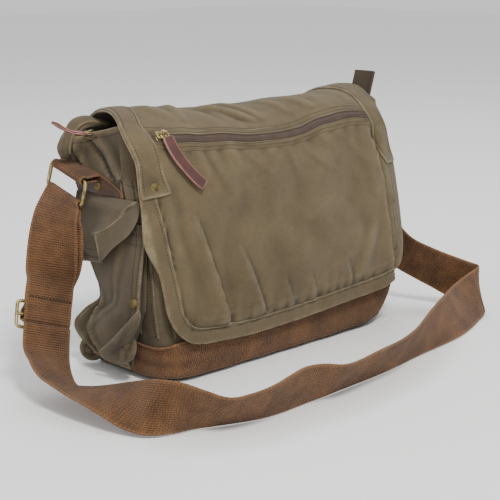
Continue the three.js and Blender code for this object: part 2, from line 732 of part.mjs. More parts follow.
const LC = new THREE.CatmullRomCurve3(toV(SL)),
  RC = new THREE.CatmullRomCurve3(toV(SR)),
  NS = SL.length - 1;
// Mid point, width direction, outward normal at station i.
function rawStation(i) {
  const t = i / NS,
    l = LC.getPoint(t),
    r = RC.getPoint(t);
  const d = 1e-3;
  const T = LC.getPoint(Math.min(1, t + d))
    .add(RC.getPoint(Math.min(1, t + d)))
    .sub(LC.getPoint(Math.max(0, t - d)))
    .sub(RC.getPoint(Math.max(0, t - d)))
    .normalize();
  const W = r.clone().sub(l).normalize(),
    c = l.clone().add(r).multiplyScalar(0.5);
  T.addScaledVector(W, -T.dot(W)).normalize();
  return { c, W, T, N: T.clone().cross(W).normalize() };
}
// The strap lies flat where it runs through the adjuster.
const SLIDER_I = 5.72;
const PITCH = 22.4; // mm from station to station
const FLAT = rawStation(SLIDER_I);
function station(i) {
  const s = rawStation(i),
    d = Math.abs(i - SLIDER_I);
  if (d > 2.3) return s;
  const q = Math.max(0, (d - 1.25) / 1.05),
    k = q * q * (3 - 2 * q);
  const c = FLAT.c
    .clone()
    .addScaledVector(FLAT.T, (i - SLIDER_I) * PITCH)
    .lerp(s.c, k);
  const W = FLAT.W.clone().lerp(s.W, k).normalize(),
    T = FLAT.T.clone().lerp(s.T, k).normalize();
  T.addScaledVector(W, -T.dot(W)).normalize();
  return { c, W, T, N: T.clone().cross(W).normalize() };
}
// Strap edges at station i, moved along the normal by n.
function edges(i, n) {
  const s = station(i),
    p = s.c.clone().addScaledVector(s.N, n);
  return [p.clone().addScaledVector(s.W, -STRAP_W / 2), p.clone().addScaledVector(s.W, STRAP_W / 2)];
}
function strapPiece(list) {
  const L = [],
    R = [];
  for (const [i, n] of list) {
    const [l, r] = edges(i, n);
    L.push(l);
    R.push(r);
  }
  return ribbon(L, R, STRAP_T);
}
// The strap bends over the lower bar of a ring: half a turn of radius TURN round the bar.
const TURN = WIRE_R + 0.4 + STRAP_T / 2;
function turn(anchorEnd, first, count, from, to) {
  const L = [],
    R = [];
  const s = station(first);
  const bar = anchorEnd.bottom;
  let out = s.N.clone();
  out.addScaledVector(E, -out.dot(E)).normalize();
  const up = out.clone().cross(E).normalize();
  if (up.z < 0) up.negate();
  for (let k = 0; k <= count; k++) {
    const a = from + ((to - from) * k) / count;
    const p = bar.clone().addScaledVector(out, TURN * Math.cos(a)).addScaledVector(up, TURN * Math.sin(a));
    const w = E.clone().multiplyScalar(s.W.dot(E) < 0 ? -1 : 1);
    L.push(p.clone().addScaledVector(w, -STRAP_W / 2));
    R.push(p.clone().addScaledVector(w, STRAP_W / 2));
  }
  return [L, R];
}
const PLANE_N = -5.6; // the adjuster's plane, behind the front layer
{
  const S = station(SLIDER_I);
  const backN = (i) => {
    const s = Math.abs(i - SLIDER_I) * PITCH;
    const f = s < 3.4 ? 1 : s > 11 ? 0 : 0.5 + 0.5 * Math.cos((Math.PI * (s - 3.4)) / 7.6);
    const base = i < SLIDER_I ? -3.2 - 3.2 * Math.max(0, 1 - i / 2) : -3.2 + 3.2 * Math.min(1, Math.max(0, (i - SLIDER_I - 0.75) / 1.4));
    return base + (-10.9 - base) * f;
  };
  // front layer: from just above the sewn end up to and over the ring's lower bar
  const [tl, tr] = turn(leftAnchor, 0, 10, -0.15, Math.PI + 0.15);
  const fl = [],
    fr = [];
  for (let i = 4.42; i >= 0.6; i -= 0.42) {
    const [l, r] = edges(i, 0);
    fl.push(l);
    fr.push(r);
  }
  put("strap_front_layer", ribbon([...fl, ...tl], [...fr, ...tr], STRAP_T), WEB);
  const list = [];
  for (let i = 0.75; i < SLIDER_I - 0.62; i += 0.4) list.push([i, backN(i)]);
  for (let i = SLIDER_I - 0.55; i <= SLIDER_I + 0.56; i += 0.11) list.push([i, backN(i)]);
  list.push([6.5, backN(6.5)], [6.9, backN(6.9)]);
  put("strap_back_layer", strapPiece(list), WEB);
  // adjuster: a flat frame with a centre bar
  const hw = STRAP_W / 2 + 2.2,
    hh = 11.4,
    wire = 3.2;
  const frame = new THREE.Shape();
  const rr = (p, x0, x1, y0, y1, r) => {
    p.moveTo(x0 + r, y0);
    p.lineTo(x1 - r, y0);
    p.lineTo(x1, y0 + r);
    p.lineTo(x1, y1 - r);
    p.lineTo(x1 - r, y1);
    p.lineTo(x0 + r, y1);
    p.lineTo(x0, y1 - r);
    p.lineTo(x0, y0 + r);
    p.lineTo(x0 + r, y0);
  };
  rr(frame, -hw - wire, hw + wire, -hh - wire, hh + wire, 3);
  for (const [a, b] of [
    [-hh, -1.6],
    [1.6, hh],
  ]) {
    const h = new THREE.Path();
    rr(h, -hw, hw, a, b, 1.2);
    frame.holes.push(h);
  }
  const g = new THREE.ExtrudeGeometry(frame, { depth: 2.4, bevelEnabled: false });
  g.translate(0, 0, -1.2);
  const grp = new THREE.Group();
  grp.matrixAutoUpdate = false;
  // local X across the strap, local Y up the strap, local Z outwards
  const Xd = S.W.clone(),
    Yd = S.T.clone().negate(),
    Zd = Xd.clone().cross(Yd).normalize();
  const outSign = Zd.dot(S.N) > 0 ? 1 : -1;
  grp.matrix.makeBasis(Xd, Yd, Zd).setPosition(S.c.clone().addScaledVector(S.N, PLANE_N));
  root.add(grp);
  put("strap_slider_frame", g, BRASS, grp);
  // sewn end: a sleeve round the centre bar with a tail that rises in front
  const sec = new THREE.Shape();
  const ro = 4.0,
    ri = 2.5;
  const z = (n) => outSign * n; // outwards from the adjuster's plane
  const tailIn = 3.9,
    tailOut = 5.7; // the tail lies in line with the front layer
  const o = [];
  for (let k = 0; k <= 14; k++) {
    const a = -((Math.PI * 2 - 1.0) * k) / 14;
    o.push([ro * Math.sin(a), z(ro * Math.cos(a))]);
  }
  // o runs round the bar in (up the strap, outwards); the tail closes it
  o.push([10.5, z(tailIn)], [26, z(tailIn + 0.6)], [26, z(tailOut + 0.6)], [10.0, z(tailOut)]);
  sec.moveTo(...o[0]);
  for (const p of o.slice(1)) sec.lineTo(...p);
  const hole = new THREE.Path();
  for (let k = 0; k < 12; k++) {
    const a = (2 * Math.PI * k) / 12;
    k ? hole.lineTo(ri * Math.cos(a), ri * Math.sin(a)) : hole.moveTo(ri, 0);
  }
  sec.holes.push(hole);
  const sg = new THREE.ExtrudeGeometry(sec, { depth: STRAP_W, bevelEnabled: false });
  // section x is up the strap, section y is outwards, depth is across
  const M = new THREE.Matrix4().makeBasis(new THREE.Vector3(0, 1, 0), new THREE.Vector3(0, 0, 1), new THREE.Vector3(1, 0, 0));
  M.setPosition(-STRAP_W / 2, 0, 0);
  sg.applyMatrix4(M);
  put("strap_sewn_end", sg, WEB, grp);
}
{
  const list = [];
  for (let i = 7.0; i <= 47.5; i += i < 9 ? 0.5 : 1) list.push([i, 0]);
  put("strap_floor_run", strapPiece(list), WEB);
}
{
  const L = [],
    R = [];
  for (let i = 47.6; i <= 52.5; i += 0.44) {
    const [l, r] = edges(i, 0);
    L.push(l);
    R.push(r);
  }
  const [tl, tr] = turn(rightAnchor, NS, 10, -0.1, Math.PI + 0.3);
  // tail of the sewn end, brought back against the strap
  put("strap_right_drop", ribbon([...L, ...tl], [...R, ...tr], STRAP_T), WEB);
}

export default root;
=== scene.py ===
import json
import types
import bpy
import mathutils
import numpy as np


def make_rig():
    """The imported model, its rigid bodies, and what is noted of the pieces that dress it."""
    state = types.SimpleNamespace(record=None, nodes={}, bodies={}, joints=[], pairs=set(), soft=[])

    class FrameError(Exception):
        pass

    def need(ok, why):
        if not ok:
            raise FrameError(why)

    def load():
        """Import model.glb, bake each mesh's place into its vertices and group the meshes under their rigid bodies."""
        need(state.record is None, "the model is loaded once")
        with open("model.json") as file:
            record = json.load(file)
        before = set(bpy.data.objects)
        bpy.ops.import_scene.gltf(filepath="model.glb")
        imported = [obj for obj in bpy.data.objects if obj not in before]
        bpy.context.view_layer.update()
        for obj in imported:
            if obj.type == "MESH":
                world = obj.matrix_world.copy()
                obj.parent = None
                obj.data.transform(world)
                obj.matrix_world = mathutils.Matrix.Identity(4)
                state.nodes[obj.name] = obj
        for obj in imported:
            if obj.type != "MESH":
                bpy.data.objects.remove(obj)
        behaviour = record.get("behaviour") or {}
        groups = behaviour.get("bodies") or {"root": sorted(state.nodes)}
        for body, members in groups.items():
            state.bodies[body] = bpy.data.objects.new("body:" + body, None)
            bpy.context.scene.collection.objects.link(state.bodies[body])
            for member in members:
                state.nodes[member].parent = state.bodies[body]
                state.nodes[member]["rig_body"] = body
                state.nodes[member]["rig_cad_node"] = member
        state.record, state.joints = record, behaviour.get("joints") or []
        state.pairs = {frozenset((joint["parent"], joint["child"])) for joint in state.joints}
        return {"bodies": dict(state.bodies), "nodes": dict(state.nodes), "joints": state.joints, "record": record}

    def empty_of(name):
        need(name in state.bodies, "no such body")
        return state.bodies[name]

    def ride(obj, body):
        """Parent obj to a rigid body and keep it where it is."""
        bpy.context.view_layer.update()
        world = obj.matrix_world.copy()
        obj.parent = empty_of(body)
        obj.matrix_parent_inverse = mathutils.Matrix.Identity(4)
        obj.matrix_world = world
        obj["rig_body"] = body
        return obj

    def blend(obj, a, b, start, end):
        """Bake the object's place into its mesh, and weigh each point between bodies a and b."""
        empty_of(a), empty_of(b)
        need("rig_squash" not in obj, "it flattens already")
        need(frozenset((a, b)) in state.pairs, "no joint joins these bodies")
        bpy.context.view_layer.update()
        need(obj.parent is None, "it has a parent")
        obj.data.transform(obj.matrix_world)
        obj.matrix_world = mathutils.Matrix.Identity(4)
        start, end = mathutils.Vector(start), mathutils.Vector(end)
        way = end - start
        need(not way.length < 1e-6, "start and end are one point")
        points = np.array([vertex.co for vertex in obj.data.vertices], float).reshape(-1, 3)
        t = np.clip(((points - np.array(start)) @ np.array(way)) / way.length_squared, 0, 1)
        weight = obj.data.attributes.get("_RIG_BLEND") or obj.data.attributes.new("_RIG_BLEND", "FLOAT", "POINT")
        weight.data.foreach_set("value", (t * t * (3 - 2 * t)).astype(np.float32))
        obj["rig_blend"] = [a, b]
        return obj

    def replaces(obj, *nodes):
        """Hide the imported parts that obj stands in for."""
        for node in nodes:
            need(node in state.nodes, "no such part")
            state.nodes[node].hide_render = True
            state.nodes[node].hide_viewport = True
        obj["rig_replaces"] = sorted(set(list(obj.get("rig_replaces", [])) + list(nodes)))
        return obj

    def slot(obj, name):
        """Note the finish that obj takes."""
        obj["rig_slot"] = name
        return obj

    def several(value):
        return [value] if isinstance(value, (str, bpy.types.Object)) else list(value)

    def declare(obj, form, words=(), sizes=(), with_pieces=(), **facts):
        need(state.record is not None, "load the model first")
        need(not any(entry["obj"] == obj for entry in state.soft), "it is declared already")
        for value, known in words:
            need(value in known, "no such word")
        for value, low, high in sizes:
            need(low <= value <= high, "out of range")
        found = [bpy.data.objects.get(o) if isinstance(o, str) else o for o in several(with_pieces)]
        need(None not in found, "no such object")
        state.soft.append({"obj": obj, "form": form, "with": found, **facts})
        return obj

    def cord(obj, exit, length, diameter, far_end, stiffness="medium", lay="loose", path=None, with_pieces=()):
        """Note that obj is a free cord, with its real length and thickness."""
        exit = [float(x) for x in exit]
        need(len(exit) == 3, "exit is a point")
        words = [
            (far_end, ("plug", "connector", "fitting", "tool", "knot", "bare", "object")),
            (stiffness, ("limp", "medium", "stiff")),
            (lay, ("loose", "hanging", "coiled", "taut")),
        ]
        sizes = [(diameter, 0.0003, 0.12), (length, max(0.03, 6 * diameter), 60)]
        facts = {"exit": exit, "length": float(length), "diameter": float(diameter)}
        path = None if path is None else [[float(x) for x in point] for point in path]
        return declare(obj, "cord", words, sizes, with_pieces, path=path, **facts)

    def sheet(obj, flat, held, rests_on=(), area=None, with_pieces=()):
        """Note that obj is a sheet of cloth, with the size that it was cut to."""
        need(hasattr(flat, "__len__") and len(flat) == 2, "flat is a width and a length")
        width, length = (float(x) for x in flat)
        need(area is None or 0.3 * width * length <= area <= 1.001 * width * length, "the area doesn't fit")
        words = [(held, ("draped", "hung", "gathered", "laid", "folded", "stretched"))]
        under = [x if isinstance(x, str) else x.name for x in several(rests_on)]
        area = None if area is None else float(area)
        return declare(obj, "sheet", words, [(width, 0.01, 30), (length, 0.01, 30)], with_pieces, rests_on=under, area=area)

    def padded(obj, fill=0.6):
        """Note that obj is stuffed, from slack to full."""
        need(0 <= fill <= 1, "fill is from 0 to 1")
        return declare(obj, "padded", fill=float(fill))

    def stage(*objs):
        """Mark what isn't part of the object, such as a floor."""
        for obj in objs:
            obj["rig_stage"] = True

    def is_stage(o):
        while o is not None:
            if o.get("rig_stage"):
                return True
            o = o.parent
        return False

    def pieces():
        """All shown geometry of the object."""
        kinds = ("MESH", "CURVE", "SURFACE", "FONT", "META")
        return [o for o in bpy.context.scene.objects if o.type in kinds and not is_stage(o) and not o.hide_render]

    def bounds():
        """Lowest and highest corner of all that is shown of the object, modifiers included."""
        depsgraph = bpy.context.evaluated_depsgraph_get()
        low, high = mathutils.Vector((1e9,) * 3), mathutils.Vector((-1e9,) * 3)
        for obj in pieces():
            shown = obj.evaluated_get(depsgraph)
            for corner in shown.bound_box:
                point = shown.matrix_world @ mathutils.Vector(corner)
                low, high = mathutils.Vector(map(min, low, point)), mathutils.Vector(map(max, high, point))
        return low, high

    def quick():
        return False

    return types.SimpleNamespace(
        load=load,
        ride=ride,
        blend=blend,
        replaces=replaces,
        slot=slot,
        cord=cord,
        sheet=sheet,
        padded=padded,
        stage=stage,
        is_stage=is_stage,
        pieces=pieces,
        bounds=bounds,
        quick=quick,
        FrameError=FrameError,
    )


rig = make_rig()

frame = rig.load()
import bpy, math, json
import numpy as np

_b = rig.bounds()
CAD_BOX = [[float(v) for v in p] for p in _b]
rng = np.random.RandomState(7)
MM = 0.001

# ------------------------------------------------------------------ camera
cam = bpy.data.cameras.new("camera")
cam.lens = 93.6
cam.sensor_width = 36
cam_ob = bpy.data.objects.new("camera", cam)
cam_ob.location = (-0.960, -1.016, 0.427)
cam_ob.rotation_euler = (math.radians(76.8), 0, math.radians(-43.7))
bpy.context.scene.collection.objects.link(cam_ob)
bpy.context.scene.camera = cam_ob


# ------------------------------------------------------------------ materials
def lin(r, g, b):
    f = lambda c: c / 12.92 if c <= 0.04045 else ((c + 0.055) / 1.055) ** 2.4
    return (f(r / 255), f(g / 255), f(b / 255), 1.0)


class NT:
    """Small helper to write node graphs."""

    def __init__(self, name):
        self.m = bpy.data.materials.new(name)
        self.m.use_nodes = True
        self.t = self.m.node_tree
        self.t.nodes.clear()
        self.out = self.t.nodes.new("ShaderNodeOutputMaterial")
        self.bs = self.t.nodes.new("ShaderNodeBsdfPrincipled")
        self.t.links.new(self.bs.outputs[0], self.out.inputs[0])
        tc = self.t.nodes.new("ShaderNodeTexCoord")
        self.obj = tc.outputs["Object"]
        self.uv = tc.outputs["UV"]

    def link(self, a, b):
        self.t.links.new(a, b)

    def val(self, sock, v):
        if isinstance(v, bpy.types.NodeSocket):
            self.link(v, sock)
        else:
            sock.default_value = v

    def math(self, op, a, b=0.0, c=0.0, clamp=False):
        n = self.t.nodes.new("ShaderNodeMath")
        n.operation = op
        n.use_clamp = clamp
        self.val(n.inputs[0], a)
        self.val(n.inputs[1], b)
        self.val(n.inputs[2], c)
        return n.outputs[0]

    def noise(self, scale, detail=4, rough=0.55, vec=None, stretch=None):
        n = self.t.nodes.new("ShaderNodeTexNoise")
        n.inputs["Scale"].default_value = scale
        n.inputs["Detail"].default_value = detail
        n.inputs["Roughness"].default_value = rough
        v = vec if vec is not None else self.obj
        if stretch:
            mp = self.t.nodes.new("ShaderNodeMapping")
            mp.inputs["Scale"].default_value = stretch
            self.link(v, mp.inputs[0])
            v = mp.outputs[0]
        self.link(v, n.inputs["Vector"])
        return n.outputs["Fac"]

    def ramp(self, fac, stops):
        n = self.t.nodes.new("ShaderNodeValToRGB")
        e = n.color_ramp.elements
        while len(e) < len(stops):
            e.new(0.5)
        for k, (p, c) in enumerate(stops):
            e[k].position = p
            e[k].color = c if len(c) == 4 else (*c, 1)
        self.link(fac, n.inputs[0])
        return n.outputs[0]

    def mix(self, fac, a, b, mode="MIX"):
        n = self.t.nodes.new("ShaderNodeMix")
        n.data_type = "RGBA"
        n.blend_type = mode
        self.val(n.inputs[0], fac)
        self.val(n.inputs[6], a)
        self.val(n.inputs[7], b)
        return n.outputs[2]

    def attr(self, name):
        n = self.t.nodes.new("ShaderNodeAttribute")
        n.attribute_name = name
        return n.outputs["Fac"]

    def sepuv(self):
        n = self.t.nodes.new("ShaderNodeSeparateXYZ")
        self.link(self.uv, n.inputs[0])
        return n.outputs[0], n.outputs[1]

    def bump(self, h, dist, strength=1.0):
        n = self.t.nodes.new("ShaderNodeBump")
        n.inputs["Distance"].default_value = dist
        n.inputs["Strength"].default_value = strength
        self.link(h, n.inputs["Height"])
        self.link(n.outputs[0], self.bs.inputs["Normal"])


def grey(v):
    return (v, v, v, 1)


def canvas(name, dark, light, worn, gain=1.0):
    """Waxed canvas: fine plain weave, soft mottling, worn pale edges."""
    t = NT(name)
    u, v = t.sepuv()
    a = t.math("SINE", t.math("MULTIPLY", u, 2 * math.pi / 0.11))
    b = t.math("SINE", t.math("MULTIPLY", v, 2 * math.pi / 0.11))
    weave = t.math("MULTIPLY", a, b)
    mott = t.noise(26, 8, 0.62)
    big = t.noise(7, 3, 0.5)
    fac = t.math("ADD", t.math("MULTIPLY", mott, 0.65), t.math("MULTIPLY", big, 0.35))
    col = t.ramp(fac, [(0.33, dark), (0.66, light)])
    fine = t.noise(900, 3, 0.7)
    slub = t.noise(60, 3, 0.6, vec=t.uv, stretch=(0.06, 1.2, 1))
    shade = t.math("ADD", 0.56, t.math("ADD", t.math("MULTIPLY", fine, 0.70), t.math("MULTIPLY", slub, 0.24)))
    shade = t.math("ADD", shade, t.math("MULTIPLY", weave, 0.05))
    n = t.t.nodes.new("ShaderNodeCombineColor")
    for k in range(3):
        t.link(shade, n.inputs[k])
    col = t.mix(1.0, col, n.outputs[0], "MULTIPLY")
    wn = t.noise(420, 4, 0.7)
    patchy = t.math("SUBTRACT", t.math("MULTIPLY", t.noise(90, 3, 0.6), 2.2), 0.55, clamp=True)
    w = t.math("MULTIPLY", t.attr("wear"), t.math("MULTIPLY", patchy, t.math("ADD", 0.2, wn)), clamp=True)
    col = t.mix(w, col, worn)
    # painted shade: the dirt attribute darkens the canvas towards a deep olive in hollows, creases and seam grooves
    d = t.math("MULTIPLY", t.attr("dirt"), 0.75)
    col = t.mix(d, col, tuple(0.25 * c for c in dark[:3]) + (1,))
    t.link(col, t.bs.inputs["Base Color"])
    t.bs.inputs["Roughness"].default_value = 0.93
    t.bs.inputs["Specular IOR Level"].default_value = 0.18
    t.bs.inputs["Sheen Weight"].default_value = 0.12
    t.bs.inputs["Sheen Roughness"].default_value = 0.5
    h = t.math("ADD", t.math("MULTIPLY", weave, 0.22), t.math("MULTIPLY", t.noise(150, 5, 0.6), 0.9))
    h = t.math("ADD", h, t.math("MULTIPLY", t.noise(45, 3, 0.5), 1.6))
    t.bump(h, 0.0011 * gain, 0.55)
    return t.m


def webbing(name, dark, light, worn, pitch=0.42):
    """Heavy cotton webbing: a basket of raised yarns in slanting rows, with firm selvedges."""
    t = NT(name)
    u, v = t.sepuv()
    # u runs across, v along, both in centimetres
    p = t.math("MULTIPLY", t.math("ADD", u, t.math("MULTIPLY", v, 0.86)), 2 * math.pi / pitch)
    q = t.math("MULTIPLY", t.math("SUBTRACT", u, t.math("MULTIPLY", v, 0.86)), 2 * math.pi / pitch)
    yarn = t.math("MULTIPLY", t.math("SINE", p), t.math("SINE", q))
    rib = t.math("SINE", t.math("MULTIPLY", v, 2 * math.pi / 0.2))
    twill = t.math("SINE", t.math("MULTIPLY", t.math("ADD", u, t.math("MULTIPLY", v, 0.62)), 2 * math.pi / (pitch * 0.62)))
    h = t.math("ADD", t.math("MULTIPLY", twill, 0.3), t.math("ADD", t.math("MULTIPLY", yarn, 0.75), t.math("MULTIPLY", rib, 0.1)))
    mott = t.noise(38, 6, 0.6)
    col = t.ramp(mott, [(0.34, dark), (0.68, light)])
    yn = t.noise(9, 3, 0.6, vec=t.uv, stretch=(3.0, 0.25, 1))
    shade = t.math("ADD", 0.84, t.math("ADD", t.math("MULTIPLY", h, 0.3), t.math("MULTIPLY", yn, 0.16)))
    n = t.t.nodes.new("ShaderNodeCombineColor")
    for k in range(3):
        t.link(shade, n.inputs[k])
    col = t.mix(1.0, col, n.outputs[0], "MULTIPLY")
    w = t.math("MULTIPLY", t.attr("wear"), t.math("ADD", 0.3, t.noise(500, 3, 0.6)), clamp=True)
    col = t.mix(w, col, worn)
    # painted shade: the dirt attribute darkens the webbing in hollows and creases
    col = t.mix(t.math("MULTIPLY", t.attr("dirt"), 0.8), col, tuple(0.2 * c for c in dark[:3]) + (1,))
    t.link(col, t.bs.inputs["Base Color"])
    t.bs.inputs["Roughness"].default_value = 0.88
    t.bs.inputs["Specular IOR Level"].default_value = 0.22
    t.bs.inputs["Sheen Weight"].default_value = 0.1
    t.bump(t.math("ADD", h, t.math("MULTIPLY", t.noise(300, 3, 0.6), 0.6)), 0.0014, 0.9)
    return t.m


def leather(name, dark, light, worn, rough=0.42):
    t = NT(name)
    mott = t.noise(70, 6, 0.6)
    col = t.ramp(mott, [(0.32, dark), (0.7, light)])
    w = t.math("MULTIPLY", t.attr("wear"), t.math("ADD", 0.5, t.noise(600, 3, 0.6)), clamp=True)
    col = t.mix(w, col, worn)
    # painted shade: the dirt attribute darkens the leather in hollows and grooves
    col = t.mix(t.math("MULTIPLY", t.attr("dirt"), 0.8), col, tuple(0.3 * c for c in dark[:3]) + (1,))
    t.link(col, t.bs.inputs["Base Color"])
    r = t.math("ADD", rough, t.math("MULTIPLY", t.noise(200, 3, 0.5), 0.25))
    t.link(r, t.bs.inputs["Roughness"])
    vo = t.t.nodes.new("ShaderNodeTexVoronoi")
    vo.inputs["Scale"].default_value = 1300
    t.link(t.obj, vo.inputs["Vector"])
    h = t.math("ADD", t.math("MULTIPLY", vo.outputs["Distance"], 0.5), t.noise(350, 4, 0.6))
    t.bump(h, 0.0005, 0.5)
    return t.m


def brass(name, dark, light, rough=0.34):
    t = NT(name)
    n1 = t.noise(160, 5, 0.65)
    col = t.ramp(n1, [(0.35, dark), (0.62, light)])
    t.link(col, t.bs.inputs["Base Color"])
    t.bs.inputs["Metallic"].default_value = 1.0
    t.link(t.math("ADD", rough, t.math("MULTIPLY", t.noise(400, 4, 0.6), 0.22)), t.bs.inputs["Roughness"])
    t.bump(t.noise(700, 3, 0.5), 0.0002, 0.4)
    return t.m


def plain_fibre(name, dark, light, scale=400, rough=0.85, bump=0.0004):
    t = NT(name)
    col = t.ramp(t.noise(scale, 4, 0.6), [(0.3, dark), (0.7, light)])
    t.link(col, t.bs.inputs["Base Color"])
    t.bs.inputs["Roughness"].default_value = rough
    t.bump(t.noise(scale * 2, 3, 0.6), bump, 0.5)
    return t.m


CAN = canvas("canvas_olive", lin(82, 71, 52), lin(104, 91, 67), lin(152, 139, 110))
# painted shade: a darker copy of the flap's olive canvas for the body, pockets and facings, which the light reaches
# less than the flap
CAN_SHADED = canvas("canvas_side", lin(74, 64, 49), lin(94, 83, 65), lin(148, 135, 108))
CAN_D = canvas("canvas_shade", lin(58, 50, 38), lin(76, 66, 51), lin(118, 106, 84))
LIN = canvas("lining_cloth", lin(48, 42, 33), lin(62, 55, 44), lin(84, 76, 62), 0.5)
WEB = webbing("webbing_brown", lin(90, 60, 34), lin(124, 85, 51), lin(146, 106, 70))
# dark brown webbing; on the grab handle its darkness is partly painted shade of the bag's back
WEBD = webbing("webbing_dark", lin(42, 29, 18), lin(58, 41, 26), lin(84, 62, 42))
LEA = leather("leather_red_brown", lin(52, 23, 18), lin(80, 39, 32), lin(160, 102, 94), 0.34)
LEAD = leather("leather_dark", lin(44, 26, 13), lin(80, 50, 26), lin(140, 94, 54), 0.42)
PINK = leather("leather_cut_edge", lin(140, 84, 77), lin(200, 143, 135), lin(220, 172, 164), 0.6)
BRA = brass("brass_antique", lin(104, 90, 56), lin(186, 170, 122))
BRAD = brass("brass_worn", lin(84, 74, 48), lin(140, 124, 82), 0.44)
TAPE = webbing("zip_tape", lin(88, 63, 47), lin(118, 88, 67), lin(120, 100, 86), 0.16)
COIL = plain_fibre("zip_coil", lin(58, 50, 46), lin(98, 88, 82), 900, 0.5)
THR_D = plain_fibre("thread_dark", lin(30, 25, 17), lin(48, 40, 28), 1500)
THR_O = plain_fibre("thread_olive", lin(58, 50, 36), lin(84, 73, 54), 1500)
THR_B = plain_fibre("thread_black", lin(14, 12, 11), lin(28, 24, 21), 1500)
THR_L = plain_fibre("thread_light", lin(120, 108, 84), lin(150, 137, 110), 1500)
THR_P = plain_fibre("thread_leather", lin(66, 40, 30), lin(96, 62, 48), 1500)
SLOT = {}
for m_, s_ in [(CAN, "canvas"), (CAN_SHADED, "canvas_dark"), (CAN_D, "canvas_dark"), (LIN, "lining"), (WEB, "webbing"),
               (WEBD, "webbing_dark"), (LEA, "leather"), (LEAD, "leather_dark"), (PINK, "leather"), (BRA, "brass"), (BRAD, "brass"),
               (TAPE, "zip_tape"), (COIL, "zip_coil"), (THR_D, "canvas"), (THR_O, "canvas"), (THR_B, "webbing_dark"), (THR_L, "canvas"), (THR_P, "leather_dark")]:
    SLOT[m_.name] = s_

# ------------------------------------------------------------------ mesh helpers
BL_TOP = ("bag", "flap_top", (0, 0.060, 0.250), (0, 0.038, 0.258))
BL_FRONT = ("flap_top", "flap_front", (0, -0.024, 0.2600), (0, -0.050, 0.2420))
PIECES = {}


def place(ob, body):
    """Rides on a body, or blends between two."""
    if isinstance(body, tuple):
        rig.blend(ob, body[0], body[1], body[2], body[3])
    elif body:
        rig.ride(ob, body)


def make(name, V, F, mat, body, uv=None, wear=None, dirt=None, smooth=35, mats=None, mat_idx=None):
    V = np.asarray(V, float) * MM
    me = bpy.data.meshes.new(name)
    me.from_pydata(V.tolist(), [], [tuple(int(i) for i in f) for f in F])
    me.validate()
    for m in mats or [mat]:
        me.materials.append(m)
    if mat_idx is not None and len(me.polygons) == len(mat_idx):
        me.polygons.foreach_set("material_index", np.asarray(mat_idx, np.int32))
    me.polygons.foreach_set("use_smooth", [True] * len(me.polygons))
    li = np.empty(len(me.loops), np.int32)
    me.loops.foreach_get("vertex_index", li)
    if uv is not None:
        lay = me.uv_layers.new(name="UVMap")
        lay.data.foreach_set("uv", np.asarray(uv, np.float32)[li].ravel())
    for nm, arr in (("wear", wear), ("dirt", dirt)):
        if arr is not None:
            at = me.attributes.new(nm, "FLOAT", "POINT")
            at.data.foreach_set("value", np.asarray(arr, np.float32))
    me.update()
    if smooth:
        me.set_sharp_from_angle(angle=math.radians(smooth))
    ob = bpy.data.objects.new(name, me)
    bpy.context.scene.collection.objects.link(ob)
    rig.slot(ob, SLOT[(mats or [mat])[0].name])
    place(ob, body)
    PIECES[name] = ob
    return ob


def grid_normals(P, wrap=False):
    if wrap:
        du = np.roll(P, -1, 1) - np.roll(P, 1, 1)
    else:
        du = np.gradient(P, axis=1)
    dv = np.gradient(P, axis=0)
    n = np.cross(du, dv)
    return n / np.maximum(np.linalg.norm(n, axis=2, keepdims=True), 1e-9)


def creases(P, N, wrap):
    """Curvature of the grid along both directions: hollows are positive, ridges negative (1/mm)."""
    R, C, _ = P.shape
    if wrap:
        N = N * (1 if np.sum(N * (P - P.mean(1, keepdims=True))) > 0 else -1)
    tot = np.zeros((R, C))
    for k, wt in ((1, 0.4), (2, 0.6)):
        for ax in (0, 1):
            n_ = P.shape[ax]
            if n_ <= 2 * k + 1:
                continue
            i = np.arange(n_)
            if wrap and ax == 1:
                a, b = (i - k) % n_, (i + k) % n_
            else:
                a, b = np.clip(i - k, 0, n_ - 1), np.clip(i + k, 0, n_ - 1)
            A, B = np.take(P, a, ax), np.take(P, b, ax)
            h2 = np.maximum(np.sum((A - P) ** 2, 2), np.sum((B - P) ** 2, 2))
            kap = 2 * np.sum(((A + B) / 2 - P) * N, 2) / np.maximum(h2, 2.0)
            if not (wrap and ax == 1):
                ed = (i < k) | (i >= n_ - k)
                if ax == 0:
                    kap[ed] = 0
                else:
                    kap[:, ed] = 0
            tot += wt * kap
    return tot


